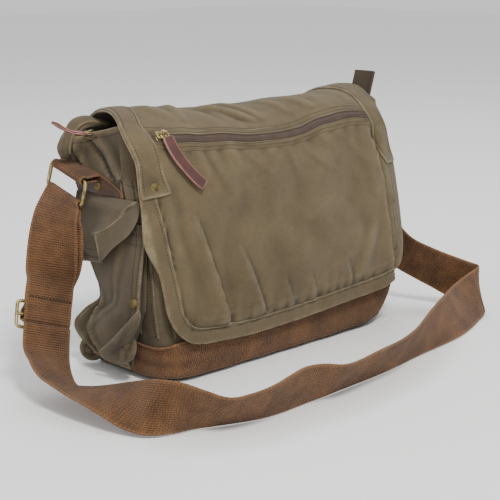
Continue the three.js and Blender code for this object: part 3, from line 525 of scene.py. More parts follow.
def sheet(name, P, t, mat, body, wear=None, dirt=None, wrap=False, uvoff=(0, 0), rim=0.45, flip=False, age=1.0, **kw):
    """A cloth of thickness t about the grid P (rows, columns, xyz in mm), with rounded edges."""
    P = np.asarray(P, float)
    R, C, _ = P.shape
    N = grid_normals(P, wrap)
    if flip:
        N = -N
    Q_ = np.concatenate([P, P[:, :1]], 1) if wrap else P
    d1, d2_ = Q_[1:, 1:] - Q_[:-1, :-1], Q_[1:, :-1] - Q_[:-1, 1:]
    CUT[name] = (float(np.linalg.norm(np.diff(Q_, axis=1), axis=2).sum(1).max()) * MM, float(np.linalg.norm(np.diff(Q_, axis=0), axis=2).sum(0).max()) * MM, float(np.linalg.norm(np.cross(d1, d2_), axis=2).sum() / 2) * MM * MM)
    du = np.linalg.norm(np.diff(P, axis=1), axis=2)
    U = np.concatenate([np.zeros((R, 1)), np.cumsum(du, 1)], 1)
    U = U - U[:, [C // 2]]
    dv = np.linalg.norm(np.diff(P, axis=0), axis=2)
    Vv = np.concatenate([np.zeros((1, C)), np.cumsum(dv, 0)], 0)
    Vv = np.repeat(Vv[:, [C // 2]], C, 1)
    uv = np.stack([U / 10 + uvoff[0], Vv / 10 + uvoff[1]], 2).reshape(-1, 2)
    top = (P + N * t / 2).reshape(-1, 3)
    bot = (P - N * t / 2).reshape(-1, 3)
    wr = np.zeros((R, C)) if wear is None else np.asarray(wear, float)
    shade_map = np.zeros((R, C)) if dirt is None else np.asarray(dirt, float)
    # painted shade: hollows found from the cloth's curvature are darkened; ridges get paler wear
    if age:
        kap = creases(P, N, wrap)
        shade_map = np.clip(shade_map + np.clip(kap * 8.0 * age, 0, 0.6), 0, 1)
        wr = np.clip(wr + np.clip(-kap * 3.6 * age - 0.05, 0, 0.45), 0, 1)
    idx = np.arange(R * C).reshape(R, C)
    F = []
    cols = C if wrap else C - 1
    for r in range(R - 1):
        for c in range(cols):
            a, b = idx[r, c], idx[r, (c + 1) % C]
            d, e = idx[r + 1, c], idx[r + 1, (c + 1) % C]
            f1, f2 = (a, b, e, d), (a + R * C, d + R * C, e + R * C, b + R * C)
            if flip:
                f1, f2 = f1[::-1], f2[::-1]
            F.append(f1)
            F.append(f2)
    V = [top, bot]
    base = 2 * R * C
    rimV, rimUV, rimW, rimD = [], [], [], []

    def add_rim(loop, inner, closed):
        nonlocal base
        n = len(loop)
        start = base
        for k in range(n):
            i, j = loop[k], inner[k]
            o = P.reshape(-1, 3)[i] - P.reshape(-1, 3)[j]
            o /= max(np.linalg.norm(o), 1e-9)
            rimV.append(P.reshape(-1, 3)[i] + o * t * rim)
            rimUV.append(uv[i])
            rimW.append(min(1, wr.reshape(-1)[i] + 0.15))
            rimD.append(shade_map.reshape(-1)[i])
        base += n
        m = n if closed else n - 1
        for k in range(m):
            a, b = loop[k], loop[(k + 1) % n]
            x, y = start + k, start + (k + 1) % n
            q1, q2 = (a, x, y, b), (x, a + R * C, b + R * C, y)
            if flip:
                q1, q2 = q1[::-1], q2[::-1]
            F.append(q1)
            F.append(q2)

    if wrap:
        add_rim(list(idx[0]), list(idx[1]), True)
        add_rim(list(idx[-1][::-1]), list(idx[-2][::-1]), True)
    else:
        Ri = np.clip(np.arange(R), 1, R - 2) if R > 2 else np.arange(R)
        loop = [(0, c) for c in range(C)] + [(r, C - 1) for r in range(1, R)] + [(R - 1, c) for c in range(C - 2, -1, -1)] + [(r, 0) for r in range(R - 2, 0, -1)]
        inner = []
        for r, c in loop:
            r2 = 1 if r == 0 else (R - 2 if r == R - 1 else r)
            c2 = 1 if c == 0 else (C - 2 if c == C - 1 else c)
            inner.append(idx[r2, c2])
        add_rim([idx[r, c] for r, c in loop], inner, True)
    V = np.concatenate([top, bot, np.array(rimV)])
    uvs = np.concatenate([uv, uv, np.array(rimUV)])
    W = np.concatenate([wr.ravel(), wr.ravel() * 0.3, rimW])
    D = np.concatenate([shade_map.ravel(), shade_map.ravel(), rimD])
    return make(name, V, F, mat, body, uv=uvs, wear=W, dirt=D, **kw)


def tube_mesh(pts, r, sides=8, closed=False, up=None):
    pts = np.asarray(pts, float)
    n = len(pts)
    r = np.broadcast_to(np.asarray(r, float), (n,))
    T = (np.roll(pts, -1, 0) - np.roll(pts, 1, 0)) if closed else np.gradient(pts, axis=0)
    T /= np.maximum(np.linalg.norm(T, axis=1, keepdims=True), 1e-9)
    ref = np.array([0.123, 0.2, 1.0]) if up is None else np.asarray(up, float)
    A = np.cross(T[0], ref)
    if np.linalg.norm(A) < 1e-3:
        A = np.cross(T[0], [1, 0, 0])
    A /= np.linalg.norm(A)
    V, UV = [], []
    L = 0
    for k in range(n):
        A = A - T[k] * (A @ T[k])
        A /= max(np.linalg.norm(A), 1e-9)
        B = np.cross(T[k], A)
        if k:
            L += np.linalg.norm(pts[k] - pts[k - 1])
        for s in range(sides):
            a = 2 * math.pi * s / sides
            V.append(pts[k] + r[k] * (A * math.cos(a) + B * math.sin(a)))
            UV.append((s / sides * 0.5, L / 10))
    F = []
    for k in range(n if closed else n - 1):
        for s in range(sides):
            a, b = k * sides + s, k * sides + (s + 1) % sides
            c, d = ((k + 1) % n) * sides + s, ((k + 1) % n) * sides + (s + 1) % sides
            F.append((a, b, d, c))
    if not closed:
        for k, fl in ((0, True), (n - 1, False)):
            V.append(pts[k] + T[k] * (-r[k] if fl else r[k]) * 0.5)
            UV.append((0, 0))
            ci = len(V) - 1
            for s in range(sides):
                a, b = k * sides + s, k * sides + (s + 1) % sides
                F.append((ci, b, a) if fl else (ci, a, b))
    return np.array(V), F, np.array(UV)


def tube(name, pts, r, mat, body, sides=8, closed=False, wear=0.0, **kw):
    V, F, UV = tube_mesh(pts, r, sides, closed)
    return make(name, V, F, mat, body, uv=UV, wear=np.full(len(V), wear), **kw)


def join(parts):
    """Several (V, F, UV) as one."""
    V, F, U = [], [], []
    o = 0
    for v, f, u in parts:
        V.append(v)
        U.append(u)
        F += [tuple(i + o for i in q) for q in f]
        o += len(v)
    return np.concatenate(V), F, np.concatenate(U)


def resample(pts, step=None, n=None):
    pts = np.asarray(pts, float)
    d = np.concatenate([[0], np.cumsum(np.linalg.norm(np.diff(pts, axis=0), axis=1))])
    if n is None:
        n = max(2, int(round(d[-1] / step)) + 1)
    s = np.linspace(0, d[-1], n)
    return np.stack([np.interp(s, d, pts[:, k]) for k in range(pts.shape[1])], 1)


def crv(pts, n=400):
    """Catmull-Rom through the points (centripetal), evenly resampled."""
    p = np.asarray(pts, float)
    p = np.vstack([2 * p[0] - p[1], p, 2 * p[-1] - p[-2]])
    out = []
    m = max(6, n // (len(p) - 3))
    for i in range(1, len(p) - 2):
        p0, p1, p2, p3 = p[i - 1], p[i], p[i + 1], p[i + 2]
        t0 = 0
        t1 = t0 + max(np.linalg.norm(p1 - p0) ** 0.5, 1e-6)
        t2 = t1 + max(np.linalg.norm(p2 - p1) ** 0.5, 1e-6)
        t3 = t2 + max(np.linalg.norm(p3 - p2) ** 0.5, 1e-6)
        for t in np.linspace(t1, t2, m, endpoint=False):
            a1 = (t1 - t) / (t1 - t0) * p0 + (t - t0) / (t1 - t0) * p1
            a2 = (t2 - t) / (t2 - t1) * p1 + (t - t1) / (t2 - t1) * p2
            a3 = (t3 - t) / (t3 - t2) * p2 + (t - t2) / (t3 - t2) * p3
            b1 = (t2 - t) / (t2 - t0) * a1 + (t - t0) / (t2 - t0) * a2
            b2 = (t3 - t) / (t3 - t1) * a2 + (t - t1) / (t3 - t1) * a3
            out.append((t2 - t) / (t2 - t1) * b1 + (t - t1) / (t2 - t1) * b2)
    out.append(p[-2])
    return resample(np.array(out), n=n)


STITCHES = {}
CUT = {}


def stitches(pts, nrm, body, mat, pitch=3.3, length=2.3, r=0.42, key=""):
    """Thread stitches along pts, each a small spindle half sunk in the cloth."""
    pts, nrm = np.asarray(pts, float), np.asarray(nrm, float)
    d = np.concatenate([[0], np.cumsum(np.linalg.norm(np.diff(pts, axis=0), axis=1))])
    n = int(d[-1] / pitch)
    if n < 1:
        return
    s0 = (np.arange(n) + 0.5) * d[-1] / n
    get = lambda s: np.stack([np.interp(s, d, pts[:, k]) for k in range(3)], 1)
    A, B, M = get(s0 - length / 2), get(s0 + length / 2), get(s0)
    Nn = np.stack([np.interp(s0, d, nrm[:, k]) for k in range(3)], 1)
    Nn /= np.maximum(np.linalg.norm(Nn, axis=1, keepdims=True), 1e-9)
    T = B - A
    T /= np.maximum(np.linalg.norm(T, axis=1, keepdims=True), 1e-9)
    W = np.cross(T, Nn)
    W /= np.maximum(np.linalg.norm(W, axis=1, keepdims=True), 1e-9)
    bk = STITCHES.setdefault((key, body if isinstance(body, str) else body, mat.name), ([], []))
    for k in range(n):
        o = sum(len(v) for v in bk[0])
        vs = [A[k] - Nn[k] * 0.25, B[k] - Nn[k] * 0.25]
        for f in (0.25, 0.75):
            c = A[k] * (1 - f) + B[k] * f + Nn[k] * r * 0.35
            for a in range(4):
                an = math.pi / 2 * a
                vs.append(c + r * (Nn[k] * math.cos(an) + W[k] * math.sin(an)))
        bk[0].append(vs)
        for a in range(4):
            b = (a + 1) % 4
            bk[1].append((o + 0, o + 2 + b, o + 2 + a))
            bk[1].append((o + 2 + a, o + 2 + b, o + 6 + b, o + 6 + a))
            bk[1].append((o + 1, o + 6 + a, o + 6 + b))


MATS = {m.name: m for m in (THR_D, THR_O, THR_B, THR_L, THR_P)}


def finish_stitches():
    for k, ((key, body, mat), (V, F)) in enumerate(sorted(STITCHES.items(), key=lambda kv: str(kv[0]))):
        V = np.concatenate([np.array(v) for v in V])
        b = body if isinstance(body, str) else "_".join(body[:2])
        make(f"stitching_{k:02d}_{b}", V, F, MATS[mat], body, smooth=60)


def smooth01(x):
    x = np.clip(x, 0, 1)
    return x * x * (3 - 2 * x)


def interp(x, xs, ys):
    return np.interp(x, xs, ys)


def sm_interp(x, xs, ys):
    """Interpolation with rounded corners."""
    d = (xs[-1] - xs[0]) * 0.02
    return (np.interp(x - d, xs, ys) + np.interp(x, xs, ys) * 2 + np.interp(x + d, xs, ys)) / 4


# ------------------------------------------------------------------ strap
SL = [[-219.0, 55.9, 190.4], [-236.1, 51.8, 172.1], [-247.5, 46.9, 151.0], [-256.2, 40.5, 129.8], [-264.7, 31.2, 110.3], [-273.5, 19.1, 93.0], [-282.0, 8.3, 74.9], [-290.2, -2.9, 56.9], [-297.3, -18.5, 42.1], [-301.5, -39.2, 33.1], [-302.2, -61.8, 28.8], [-301.4, -84.4, 24.5], [-298.9, -106.8, 20.4], [-294.4, -128.4, 13.9], [-287.1, -148.6, 5.9], [-276.0, -167.9, 2.6], [-255.4, -176.5, 1.4], [-233.8, -180.6, 1.4], [-213.4, -188.0, 1.4], [-193.3, -195.8, 1.4], [-173.1, -202.2, 1.4], [-152.2, -205.1, 1.4], [-131.0, -205.0, 1.4], [-109.6, -203.4, 1.4], [-87.8, -202.3, 1.4], [-65.8, -200.6, 1.4], [-43.8, -199.2, 1.4], [-21.8, -197.8, 1.4], [0.2, -196.0, 1.4], [22.2, -193.5, 1.4], [44.0, -190.4, 1.4], [65.8, -186.8, 1.4], [87.6, -183.5, 1.4], [109.5, -180.7, 1.4], [131.5, -178.1, 1.4], [153.6, -174.9, 1.4], [175.5, -170.3, 1.4], [197.1, -163.9, 1.4], [218.3, -156.1, 1.4], [239.1, -147.7, 1.6], [259.8, -139.8, 2.4], [276.6, -126.5, 1.4], [281.7, -104.2, 2.4], [267.0, -86.9, 10.0], [256.3, -65.6, 21.5], [243.8, -45.3, 32.6], [232.9, -24.5, 44.6], [229.0, -2.5, 59.2], [232.8, 18.2, 75.5], [238.2, 36.8, 93.6], [240.8, 52.6, 115.0], [234.6, 59.8, 140.0], [224.8, 61.1, 164.7], [215.5, 57.9, 189.5]]
SR = [[-212.0, 6.2, 181.8], [-219.8, 3.3, 164.6], [-220.2, 3.6, 144.2], [-220.2, 4.7, 123.0], [-221.4, 5.9, 101.0], [-226.7, 4.2, 79.5], [-234.4, 0.0, 58.8], [-242.3, -8.9, 39.9], [-250.2, -19.8, 22.3], [-255.2, -38.1, 11.7], [-252.8, -59.6, 15.6], [-250.4, -80.8, 22.1], [-248.8, -102.0, 29.4], [-249.0, -123.2, 36.8], [-253.2, -143.9, 44.4], [-259.1, -164.5, 51.4], [-251.3, -185.4, 51.8], [-239.6, -204.3, 46.0], [-224.1, -219.9, 39.0], [-202.2, -227.3, 39.6], [-179.0, -230.2, 42.4], [-155.6, -228.2, 45.9], [-132.4, -225.1, 48.0], [-109.4, -227.4, 46.3], [-87.4, -232.6, 41.7], [-64.5, -232.1, 41.2], [-41.9, -229.3, 42.3], [-19.3, -226.5, 43.1], [3.3, -223.5, 43.6], [25.6, -218.5, 45.1], [47.3, -211.7, 47.0], [68.2, -202.6, 49.3], [89.0, -193.1, 50.9], [109.6, -183.4, 51.7], [130.1, -173.3, 51.6], [150.1, -162.7, 50.4], [169.5, -151.2, 48.0], [188.4, -139.6, 45.1], [207.6, -128.5, 42.8], [228.0, -119.5, 42.8], [249.9, -116.1, 47.7], [272.5, -114.1, 52.2], [285.9, -109.2, 53.1], [273.9, -102.6, 58.7], [257.1, -88.8, 66.4], [240.9, -72.2, 76.0], [228.2, -52.9, 86.8], [229.4, -32.1, 100.8], [246.2, -15.9, 111.2], [263.8, 0.8, 119.2], [273.0, 18.1, 134.7], [260.6, 18.7, 156.2], [239.3, 12.1, 168.9], [215.5, 8.0, 177.4]]
SL, SR = np.array(SL), np.array(SR)
NST = len(SL) - 1
STRAP_W, STRAP_T = 51.0, 2.2


def hermite(A, x):
    """Catmull-Rom value of the station table A at fractional stations x."""
    x = np.clip(np.asarray(x, float), 0, len(A) - 1 - 1e-9)
    i = x.astype(int)
    f = (x - i)[:, None]
    g = lambda k: A[np.clip(k, 0, len(A) - 1)]
    p0, p1, p2, p3 = g(i - 1), g(i), g(i + 1), g(i + 2)
    return 0.5 * (2 * p1 + (p2 - p0) * f + (2 * p0 - 5 * p1 + 4 * p2 - p3) * f ** 2 + (3 * p1 - p0 - 3 * p2 + p3) * f ** 3)


def raw_station(x):
    x = np.atleast_1d(np.asarray(x, float))
    l, r = hermite(SL, x), hermite(SR, x)
    e = 0.02
    T = hermite(SL, x + e) + hermite(SR, x + e) - hermite(SL, x - e) - hermite(SR, x - e)
    W = r - l
    W /= np.linalg.norm(W, axis=1, keepdims=True)
    T /= np.linalg.norm(T, axis=1, keepdims=True)
    T -= W * np.sum(T * W, 1, keepdims=True)
    T /= np.linalg.norm(T, axis=1, keepdims=True)
    return (l + r) / 2, W, T, np.cross(T, W)


SI, PITCH = 5.72, 22.4
_c0, _w0, _t0, _n0 = [a[0] for a in raw_station(SI)]


def station(x):
    x = np.atleast_1d(np.asarray(x, float))
    c, W, T, N = raw_station(x)
    k = smooth01((np.abs(x - SI) - 1.25) / 1.05)[:, None]
    c = (_c0 + _t0 * ((x - SI) * PITCH)[:, None]) * (1 - k) + c * k
    W = _w0 * (1 - k) + W * k
    W /= np.linalg.norm(W, axis=1, keepdims=True)
    T = _t0 * (1 - k) + T * k
    T -= W * np.sum(T * W, 1, keepdims=True)
    T /= np.linalg.norm(T, axis=1, keepdims=True)
    return c, W, T, np.cross(T, W)


E = np.array([0, 0.965, 0.262])
E /= np.linalg.norm(E)
TURN = 2.0 + 0.4 + STRAP_T / 2


def ring_bar(sgn):
    top = np.array([sgn * 211.0, 27, 208.5])
    down = np.array([sgn * 2.0, 6.4, -24.6])
    down -= E * (down @ E)
    down /= np.linalg.norm(down)
    return top, down, top + down * 25.5


def turn_path(sgn, x, a0, a1, n):
    """Centres, width directions and normals where the strap turns over the ring's lower bar."""
    top, down, bar = ring_bar(sgn)
    c, W, T, N = [a[0] for a in station([x])]
    out = N - E * (N @ E)
    out /= np.linalg.norm(out)
    up = np.cross(out, E)
    if up[2] < 0:
        up = -up
    up /= np.linalg.norm(up)
    a = np.linspace(a0, a1, n)[:, None]
    P = bar + out * TURN * np.cos(a) + up * TURN * np.sin(a)
    NN = out * np.cos(a) + up * np.sin(a)
    w = E * (1 if W @ E >= 0 else -1)
    return P, np.repeat(w[None], n, 0), NN


def strap_mesh(C, W, N, t=STRAP_T, width=STRAP_W, v0=0.0, wear_ends=(), cup=None):
    """A webbing ribbon: centres C, width directions W, outer normals N."""
    n = len(C)
    k = np.array([-1, -0.985, -0.94, -0.85, -0.6, -0.3, 0, 0.3, 0.6, 0.85, 0.94, 0.985, 1.0])
    th = np.array([0.25, 0.72, 1.0, 1.1, 0.98, 1, 1, 1, 0.98, 1.1, 1.0, 0.72, 0.25]) * t / 2
    m = len(k)
    d = np.concatenate([[0], np.cumsum(np.linalg.norm(np.diff(C, axis=0), axis=1))]) + v0
    V, UV, WR = [], [], []
    for side in (1, -1):
        for j in range(n):
            for q in range(m):
                bend = 0 if cup is None else cup[j] * (k[q] ** 2 - 0.33)
                V.append(C[j] + W[j] * (k[q] * width / 2) + N[j] * (side * th[q] + bend))
                UV.append((k[q] * width / 20, d[j] / 10))
                WR.append(0.55 if abs(k[q]) > 0.93 else 0.0)
    F = []
    o = n * m
    for j in range(n - 1):
        for q in range(m - 1):
            a, b, c, e = j * m + q, j * m + q + 1, (j + 1) * m + q + 1, (j + 1) * m + q
            F.append((a, e, c, b))
            F.append((a + o, b + o, c + o, e + o))
        a, e = j * m, (j + 1) * m
        F.append((a, a + o, e + o, e))
        a, e = j * m + m - 1, (j + 1) * m + m - 1
        F.append((a, e, e + o, a + o))
    for j, fl in ((0, 0), (n - 1, 1)):
        for q in range(m - 1):
            a, b = j * m + q, j * m + q + 1
            f = (a, b, b + o, a + o)
            F.append(f if not fl else f[::-1])
    return np.array(V), F, np.array(UV), np.array(WR)


def strap_piece(name, C, W, N, body, **kw):
    V, F, UV, WR = strap_mesh(C, W, N, **kw)
    return make(name, V, F, WEB, body, uv=UV, wear=WR)


def back_n(x):
    s = np.abs(x - SI) * PITCH
    wd_ = np.where(x < SI, 7.6, 6.2)
    f = np.where(s < 3.4, 1.0, np.where(s > 3.4 + wd_, 0.0, 0.5 + 0.5 * np.cos(np.pi * np.clip((s - 3.4) / wd_, 0, 1))))
    base = np.where(x < SI, -3.3 - 3.3 * np.clip(1 - x / 2, 0, 1), -1.6 + 1.6 * np.clip((x - SI - 0.85) / 1.2, 0, 1))
    return base + (-10.9 - base) * f


# main run, first half: from the left ring's bar behind the adjuster to the middle of the floor run
x = np.concatenate([np.arange(0.75, 5.0, 0.12), np.arange(5.0, 6.5, 0.05), np.arange(6.5, 24.95, 0.11), [25.05]])
c, W_, T_, N_ = station(x)
c = c + N_ * back_n(x)[:, None]
c = c + W_ * (5.0 * smooth01((x - 0.7) / 1.0) * smooth01((4.9 - x) / 2.2))[:, None]
tp, tw, tn = turn_path(-1, 0, math.pi / 2, math.pi + 0.1, 8)
sgn_w = np.sign(np.sum(tw[0] * W_[0]))
c = np.concatenate([tp, c])
W1 = np.concatenate([tw * sgn_w, W_])
N1 = np.concatenate([-tn, N_])
lenA = float(np.sum(np.linalg.norm(np.diff(c, axis=0), axis=1)))
strapA = strap_piece("strap_run_left", c, W1, N1, None)
pathA = [tuple(p * MM) for p in resample(c, 24)]
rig.blend(strapA, "left_ring", "bag", (-0.245, 0.01, 0.062), (-0.262, -0.06, 0.010))
midpoint = c[-1]
# second half: from the middle to the right ring
x = np.concatenate([[24.93], np.arange(25.06, 40.0, 0.12), np.arange(40.0, 52.4, 0.08)])
c, W_, T_, N_ = station(x)
tp, tw, tn = turn_path(1, NST, -0.1, math.pi + 0.25, 14)
sgn_w = np.sign(np.sum(tw[0] * W_[-1]))
cB = np.concatenate([c, tp])
lenB = float(np.sum(np.linalg.norm(np.diff(cB, axis=0), axis=1)))
strapB = strap_piece("strap_run_right", cB, np.concatenate([W_, tw * sgn_w]), np.concatenate([N_, tn]), None, v0=lenA)
pathB = [tuple(p * MM) for p in resample(cB, 24)]
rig.blend(strapB, "bag", "right_ring", (0.240, -0.06, 0.060), (0.255, 0.03, 0.150))
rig.replaces(strapA, "strap_back_layer", "strap_floor_run")
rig.replaces(strapB, "strap_right_drop")

# front layer: over the ring, down the outside, and round the adjuster's middle bar
xf = np.arange(0.55, SI - 0.30, 0.12)
c, W_, T_, N_ = station(xf)
tp, tw, tn = turn_path(-1, 0, math.pi / 2 + 0.3, -0.1, 10)
sgn_w = np.sign(np.sum(tw[0] * W_[0]))
PLN = -5.6
S0 = _c0 + _n0 * PLN  # the middle bar
fold_a = np.linspace(math.radians(92), math.radians(245), 20)
RB = 3.2
loopC = np.array([S0 + _n0 * (RB * math.sin(a) + 0.6) + _t0 * (2.2 - (RB + 1.2) * math.cos(a)) for a in fold_a])
loopN = np.array([_n0 * math.sin(a) - _t0 * math.cos(a) for a in fold_a])
# ease the front layer down to the loop
k = smooth01((xf - (SI - 1.15)) / 0.85)[:, None]
drop = (PLN + RB + 0.6) * k
c = c + N_ * drop
cF = np.concatenate([tp, c, loopC])
WF = np.concatenate([tw * sgn_w, W_, np.repeat(_w0[None], len(loopC), 0)])
NF = np.concatenate([tn, N_, loopN])
front = strap_piece("strap_front_layer_web", cF, WF, NF, None)
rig.blend(front, "left_ring", "strap_slider", tuple(hermite(SL, [0.6])[0] * MM * 0.5 + hermite(SR, [0.6])[0] * MM * 0.5), tuple((_c0 - _t0 * 27) * MM))
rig.replaces(front, "strap_front_layer", "strap_sewn_end")
# black stitch row across the front layer, and its thicker doubled part below
q = np.linspace(-23.5, 23.5, 30)[:, None]
row = _c0 - _t0 * 17.5 + _w0 * q + _n0 * 1.2
stitches(row, np.repeat(_n0[None], 30, 0), ("left_ring", "strap_slider", tuple(hermite(SL, [0.6])[0] * MM * 0.5 + hermite(SR, [0.6])[0] * MM * 0.5), tuple((_c0 - _t0 * 27) * MM)), THR_B, 3.0, 2.3, 0.6, "s")

# hairpin: the strap's sewn join
for xs_ in (40.35, 41.55, 41.75):
    c1, w1, t1, n1 = [a[0] for a in station([xs_])]
    q = np.linspace(-23, 23, 24)[:, None]
    for sd in (1, -1):
        stitches(c1 + w1 * q + n1 * sd * 1.15, np.repeat(sd * n1[None], 24, 0), "bag", THR_D, 2.8, 2.0, 0.4)

# rings
def ring_obj(name, sgn, body, node):
    top, down, bar = ring_bar(sgn)
    mid = top + down * 12.75
    hw, hh, rc = 29.0, 12.75, 5.0
    pts = []
    for cx, cy, q in ((hw - rc, hh - rc, 0), (-hw + rc, hh - rc, 1), (-hw + rc, -hh + rc, 2), (hw - rc, -hh + rc, 3)):
        for k in range(9):
            a = math.pi / 2 * (q + k / 8)
            pts.append(mid + E * (cx + rc * math.cos(a)) + down * (cy + rc * math.sin(a)))
    ob = tube(name, pts, 2.05, BRA, body, sides=16, closed=True)
    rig.replaces(ob, node)
    return ob


ring_obj("ring_wire_left", -1, "left_ring", "left_ring")
ring_obj("ring_wire_right", 1, "right_ring", "right_ring")

# adjuster: a rounded wire frame with a middle bar
def frame_pt(a, b, n=0.0):
    return _c0 + _n0 * (PLN + n) + _w0 * a + (-_t0) * b


pts = []
hw, hh, rc = 29.3, 13.0, 4.0
for cx, cy, q in ((hw - rc, hh - rc, 0), (-hw + rc, hh - rc, 1), (-hw + rc, -hh + rc, 2), (hw - rc, -hh + rc, 3)):
    for k in range(9):
        a = math.pi / 2 * (q + k / 8)
        pts.append(frame_pt(cx * 0.96 + rc * math.cos(a) - 3.4, cy + rc * math.sin(a)))
parts = [tube_mesh(pts, 1.75, 14, True)]
parts.append(tube_mesh([frame_pt(a, 0) for a in np.linspace(-31.0, 22.0, 12)], 1.7, 12))
V, F, UV = join(parts)
adj = make("adjuster_frame", V, F, BRA, "strap_slider", uv=UV)
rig.replaces(adj, "strap_slider_frame")

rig.cord(strapA, exit=pathA[0], length=lenA * MM, diameter=0.051, far_end="object", stiffness="medium", lay="loose", with_pieces=[front, adj], path=pathA)
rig.cord(strapB, exit=pathB[0], length=lenB * MM, diameter=0.051, far_end="object", stiffness="medium", lay="loose", path=pathB)

# ------------------------------------------------------------------ flap surface
FLAP_YZ = [(53.0, 246.0), (51.0, 251.2), (46, 255), (40, 258), (28, 262.6), (12, 265.4), (-4, 265.4), (-18, 262.6), (-30, 257.6), (-38.5, 252.8), (-46, 246.7), (-53, 238.5), (-58, 228), (-61.2, 215), (-64, 196), (-70, 170), (-76, 140), (-81, 110), (-84.5, 80), (-86.4, 55), (-87.2, 20)]
_fl = crv(FLAP_YZ, 1200)
_fd = np.concatenate([[0], np.cumsum(np.linalg.norm(np.diff(_fl, axis=0), axis=1))])
S_FOLD = float(_fd[np.argmin(np.hypot(_fl[:, 0] + 38.5, _fl[:, 1] - 252.8))])
_ft = np.gradient(_fl, axis=0)
_ft /= np.linalg.norm(_ft, axis=1, keepdims=True)
Q_BACK = -S_FOLD


def q_of_z(z):
    m = _fd > S_FOLD
    return np.interp(-np.asarray(z, float), -_fl[m][:, 1], _fd[m] - S_FOLD)


def q_bottom(x):
    z = sm_interp(x, [-190, -120, -72, 2, 65, 111, 140, 163, 190], [42, 39, 36, 38, 43, 45, 48, 54, 60])
    return q_of_z(z)


Q_END = float(q_of_z(40.0))
RC = 44.0


def xl(q):
    return sm_interp(q, [-115, -80, -44, -13, 5, 20, 34, 71, 88, 100, 118, 128, 146, 164, 185, 235], [-165, -172, -179, -190, -197, -197.5, -193.5, -192, -193, -195, -195.5, -191, -182, -180, -178.5, -178])


def xr(q):
    return sm_interp(q, [-115, -44, -15, 5, 19, 33, 55, 71, 104, 157, 230], [184, 180, 174, 168, 165, 168, 180, 189, 188, 190, 188])


def seam_l(q):
    return sm_interp(q, [0, 60, 74, 103, 138, 173, 230], [-179, -178, -176, -172, -168.5, -163.5, -162])


def ridge_r(q):
    return sm_interp(q, [0, 40, 64, 90, 125, 172, 215], [134, 136, 143, 146, 148, 150, 156])


STEPS = [  # x1, q1, x2, q2, height: high on the left, a sharp drop on the right
    (-136, 96, -107, 205, 5.8, 22, 20), (-82, 132, -54, 205, 2.6, 20, 16), (70, 165, 84, 206, 1.1, 16, 12), (12, 172, 24, 206, 0.9, 14, 12), (-26, 168, -12, 206, 1.0, 12, 10)]
FOLDS = [  # x1, q1, x2, q2, height, width on the left, width on the right
    (-155, 96, -140, 170, -1.8, 9, 11), (-72, 24, -80, 84, 1.6, 9, 11), (-52, 33, -22, 64, 1.0, 5, 9), (30, 36, 62, 66, 1.1, 5, 9),
    (8, 38, 20, 78, 1.2, 6, 8), (98, 40, 122, 64, 0.8, 5, 8), (62, 32, 84, 54, 0.6, 5, 7), (-100, 34, -84, 72, 1.3, 5, 8),
    (122, 44, 136, 104, 1.1, 7, 10), (124, 140, 92, 200, 2.4, 9, 8), (30, 80, 60, 170, 1.6, 20, 22), (-116, 30, -112, 60, 1.3, 6, 7),
    (-34, 110, 18, 180, 1.6, 16, 18), (-160, 60, -148, 96, -1.2, 8, 10), (-100, 120, -96, 190, -1.6, 9, 12), (86, 100, 118, 150, -1.2, 12, 14), (-20, 60, -30, 110, 1.0, 10, 12)]
TOPFOLDS = [  # x1, y1, x2, y2, height, left width, right width
    (-103, 8, -113, -32, 2.8, 7, 7), (-86, 12, -62, -28, -2.0, 7, 8), (-66, -4, -14, -38, 3.2, 5, 6), (-44, 8, -4, -30, 2.8, 5, 6),
    (-56, -14, -24, -40, -1.8, 5, 6), (16, 8, 38, -30, 2.0, 6, 8), (54, -2, 76, -34, 2.2, 6, 7), (98, 8, 88, -28, 1.8, 8, 8), (122, 4, 136, -28, 1.8, 7, 7), (-140, 2, -126, -30, 1.6, 8, 8)]


def inset(x, q):
    """Distance in from the flap's free edge."""
    L, Rr, B = x - (seam_l(q) - 16.0), np.maximum(xr(q), 176) - x, q_bottom(x) - q
    d = np.minimum(np.minimum(L, Rr), B)
    for S in (L, Rr):
        inside = (S < RC) & (B < RC)
        dd = RC - np.hypot(RC - S, RC - B)
        d = np.where(inside, np.minimum(d, dd), d)
    return d


def seg_fold(x, q, x1, q1, x2, q2, h, wl, wr):
    dx, dq = x2 - x1, q2 - q1
    L = math.hypot(dx, dq)
    t = ((x - x1) * dx + (q - q1) * dq) / L ** 2
    s = ((x - x1) * dq - (q - q1) * dx) / L  # signed distance
    s = s * (1 if dq > 0 else -1)
    w = np.where(s < 0, wl, wr)
    env = smooth01((t + 0.25) / 0.5) * smooth01((1.3 - t) / 0.6)
    return h * np.exp(-(s / w) ** 2) * env


_puck_x = np.array([-150, -124, -97, -75, -54, -38, -21, -4, 12, 30, 44, 57, 70, 82, 100, 120, 140])
_puck_a = np.array([.6, .8, 1.8, 1.3, 1.5, 1.0, 1.6, 1.0, 1.4, 1.2, 1.0, 1.5, 1.0, 1.8, 1.0, 1.0, .8])


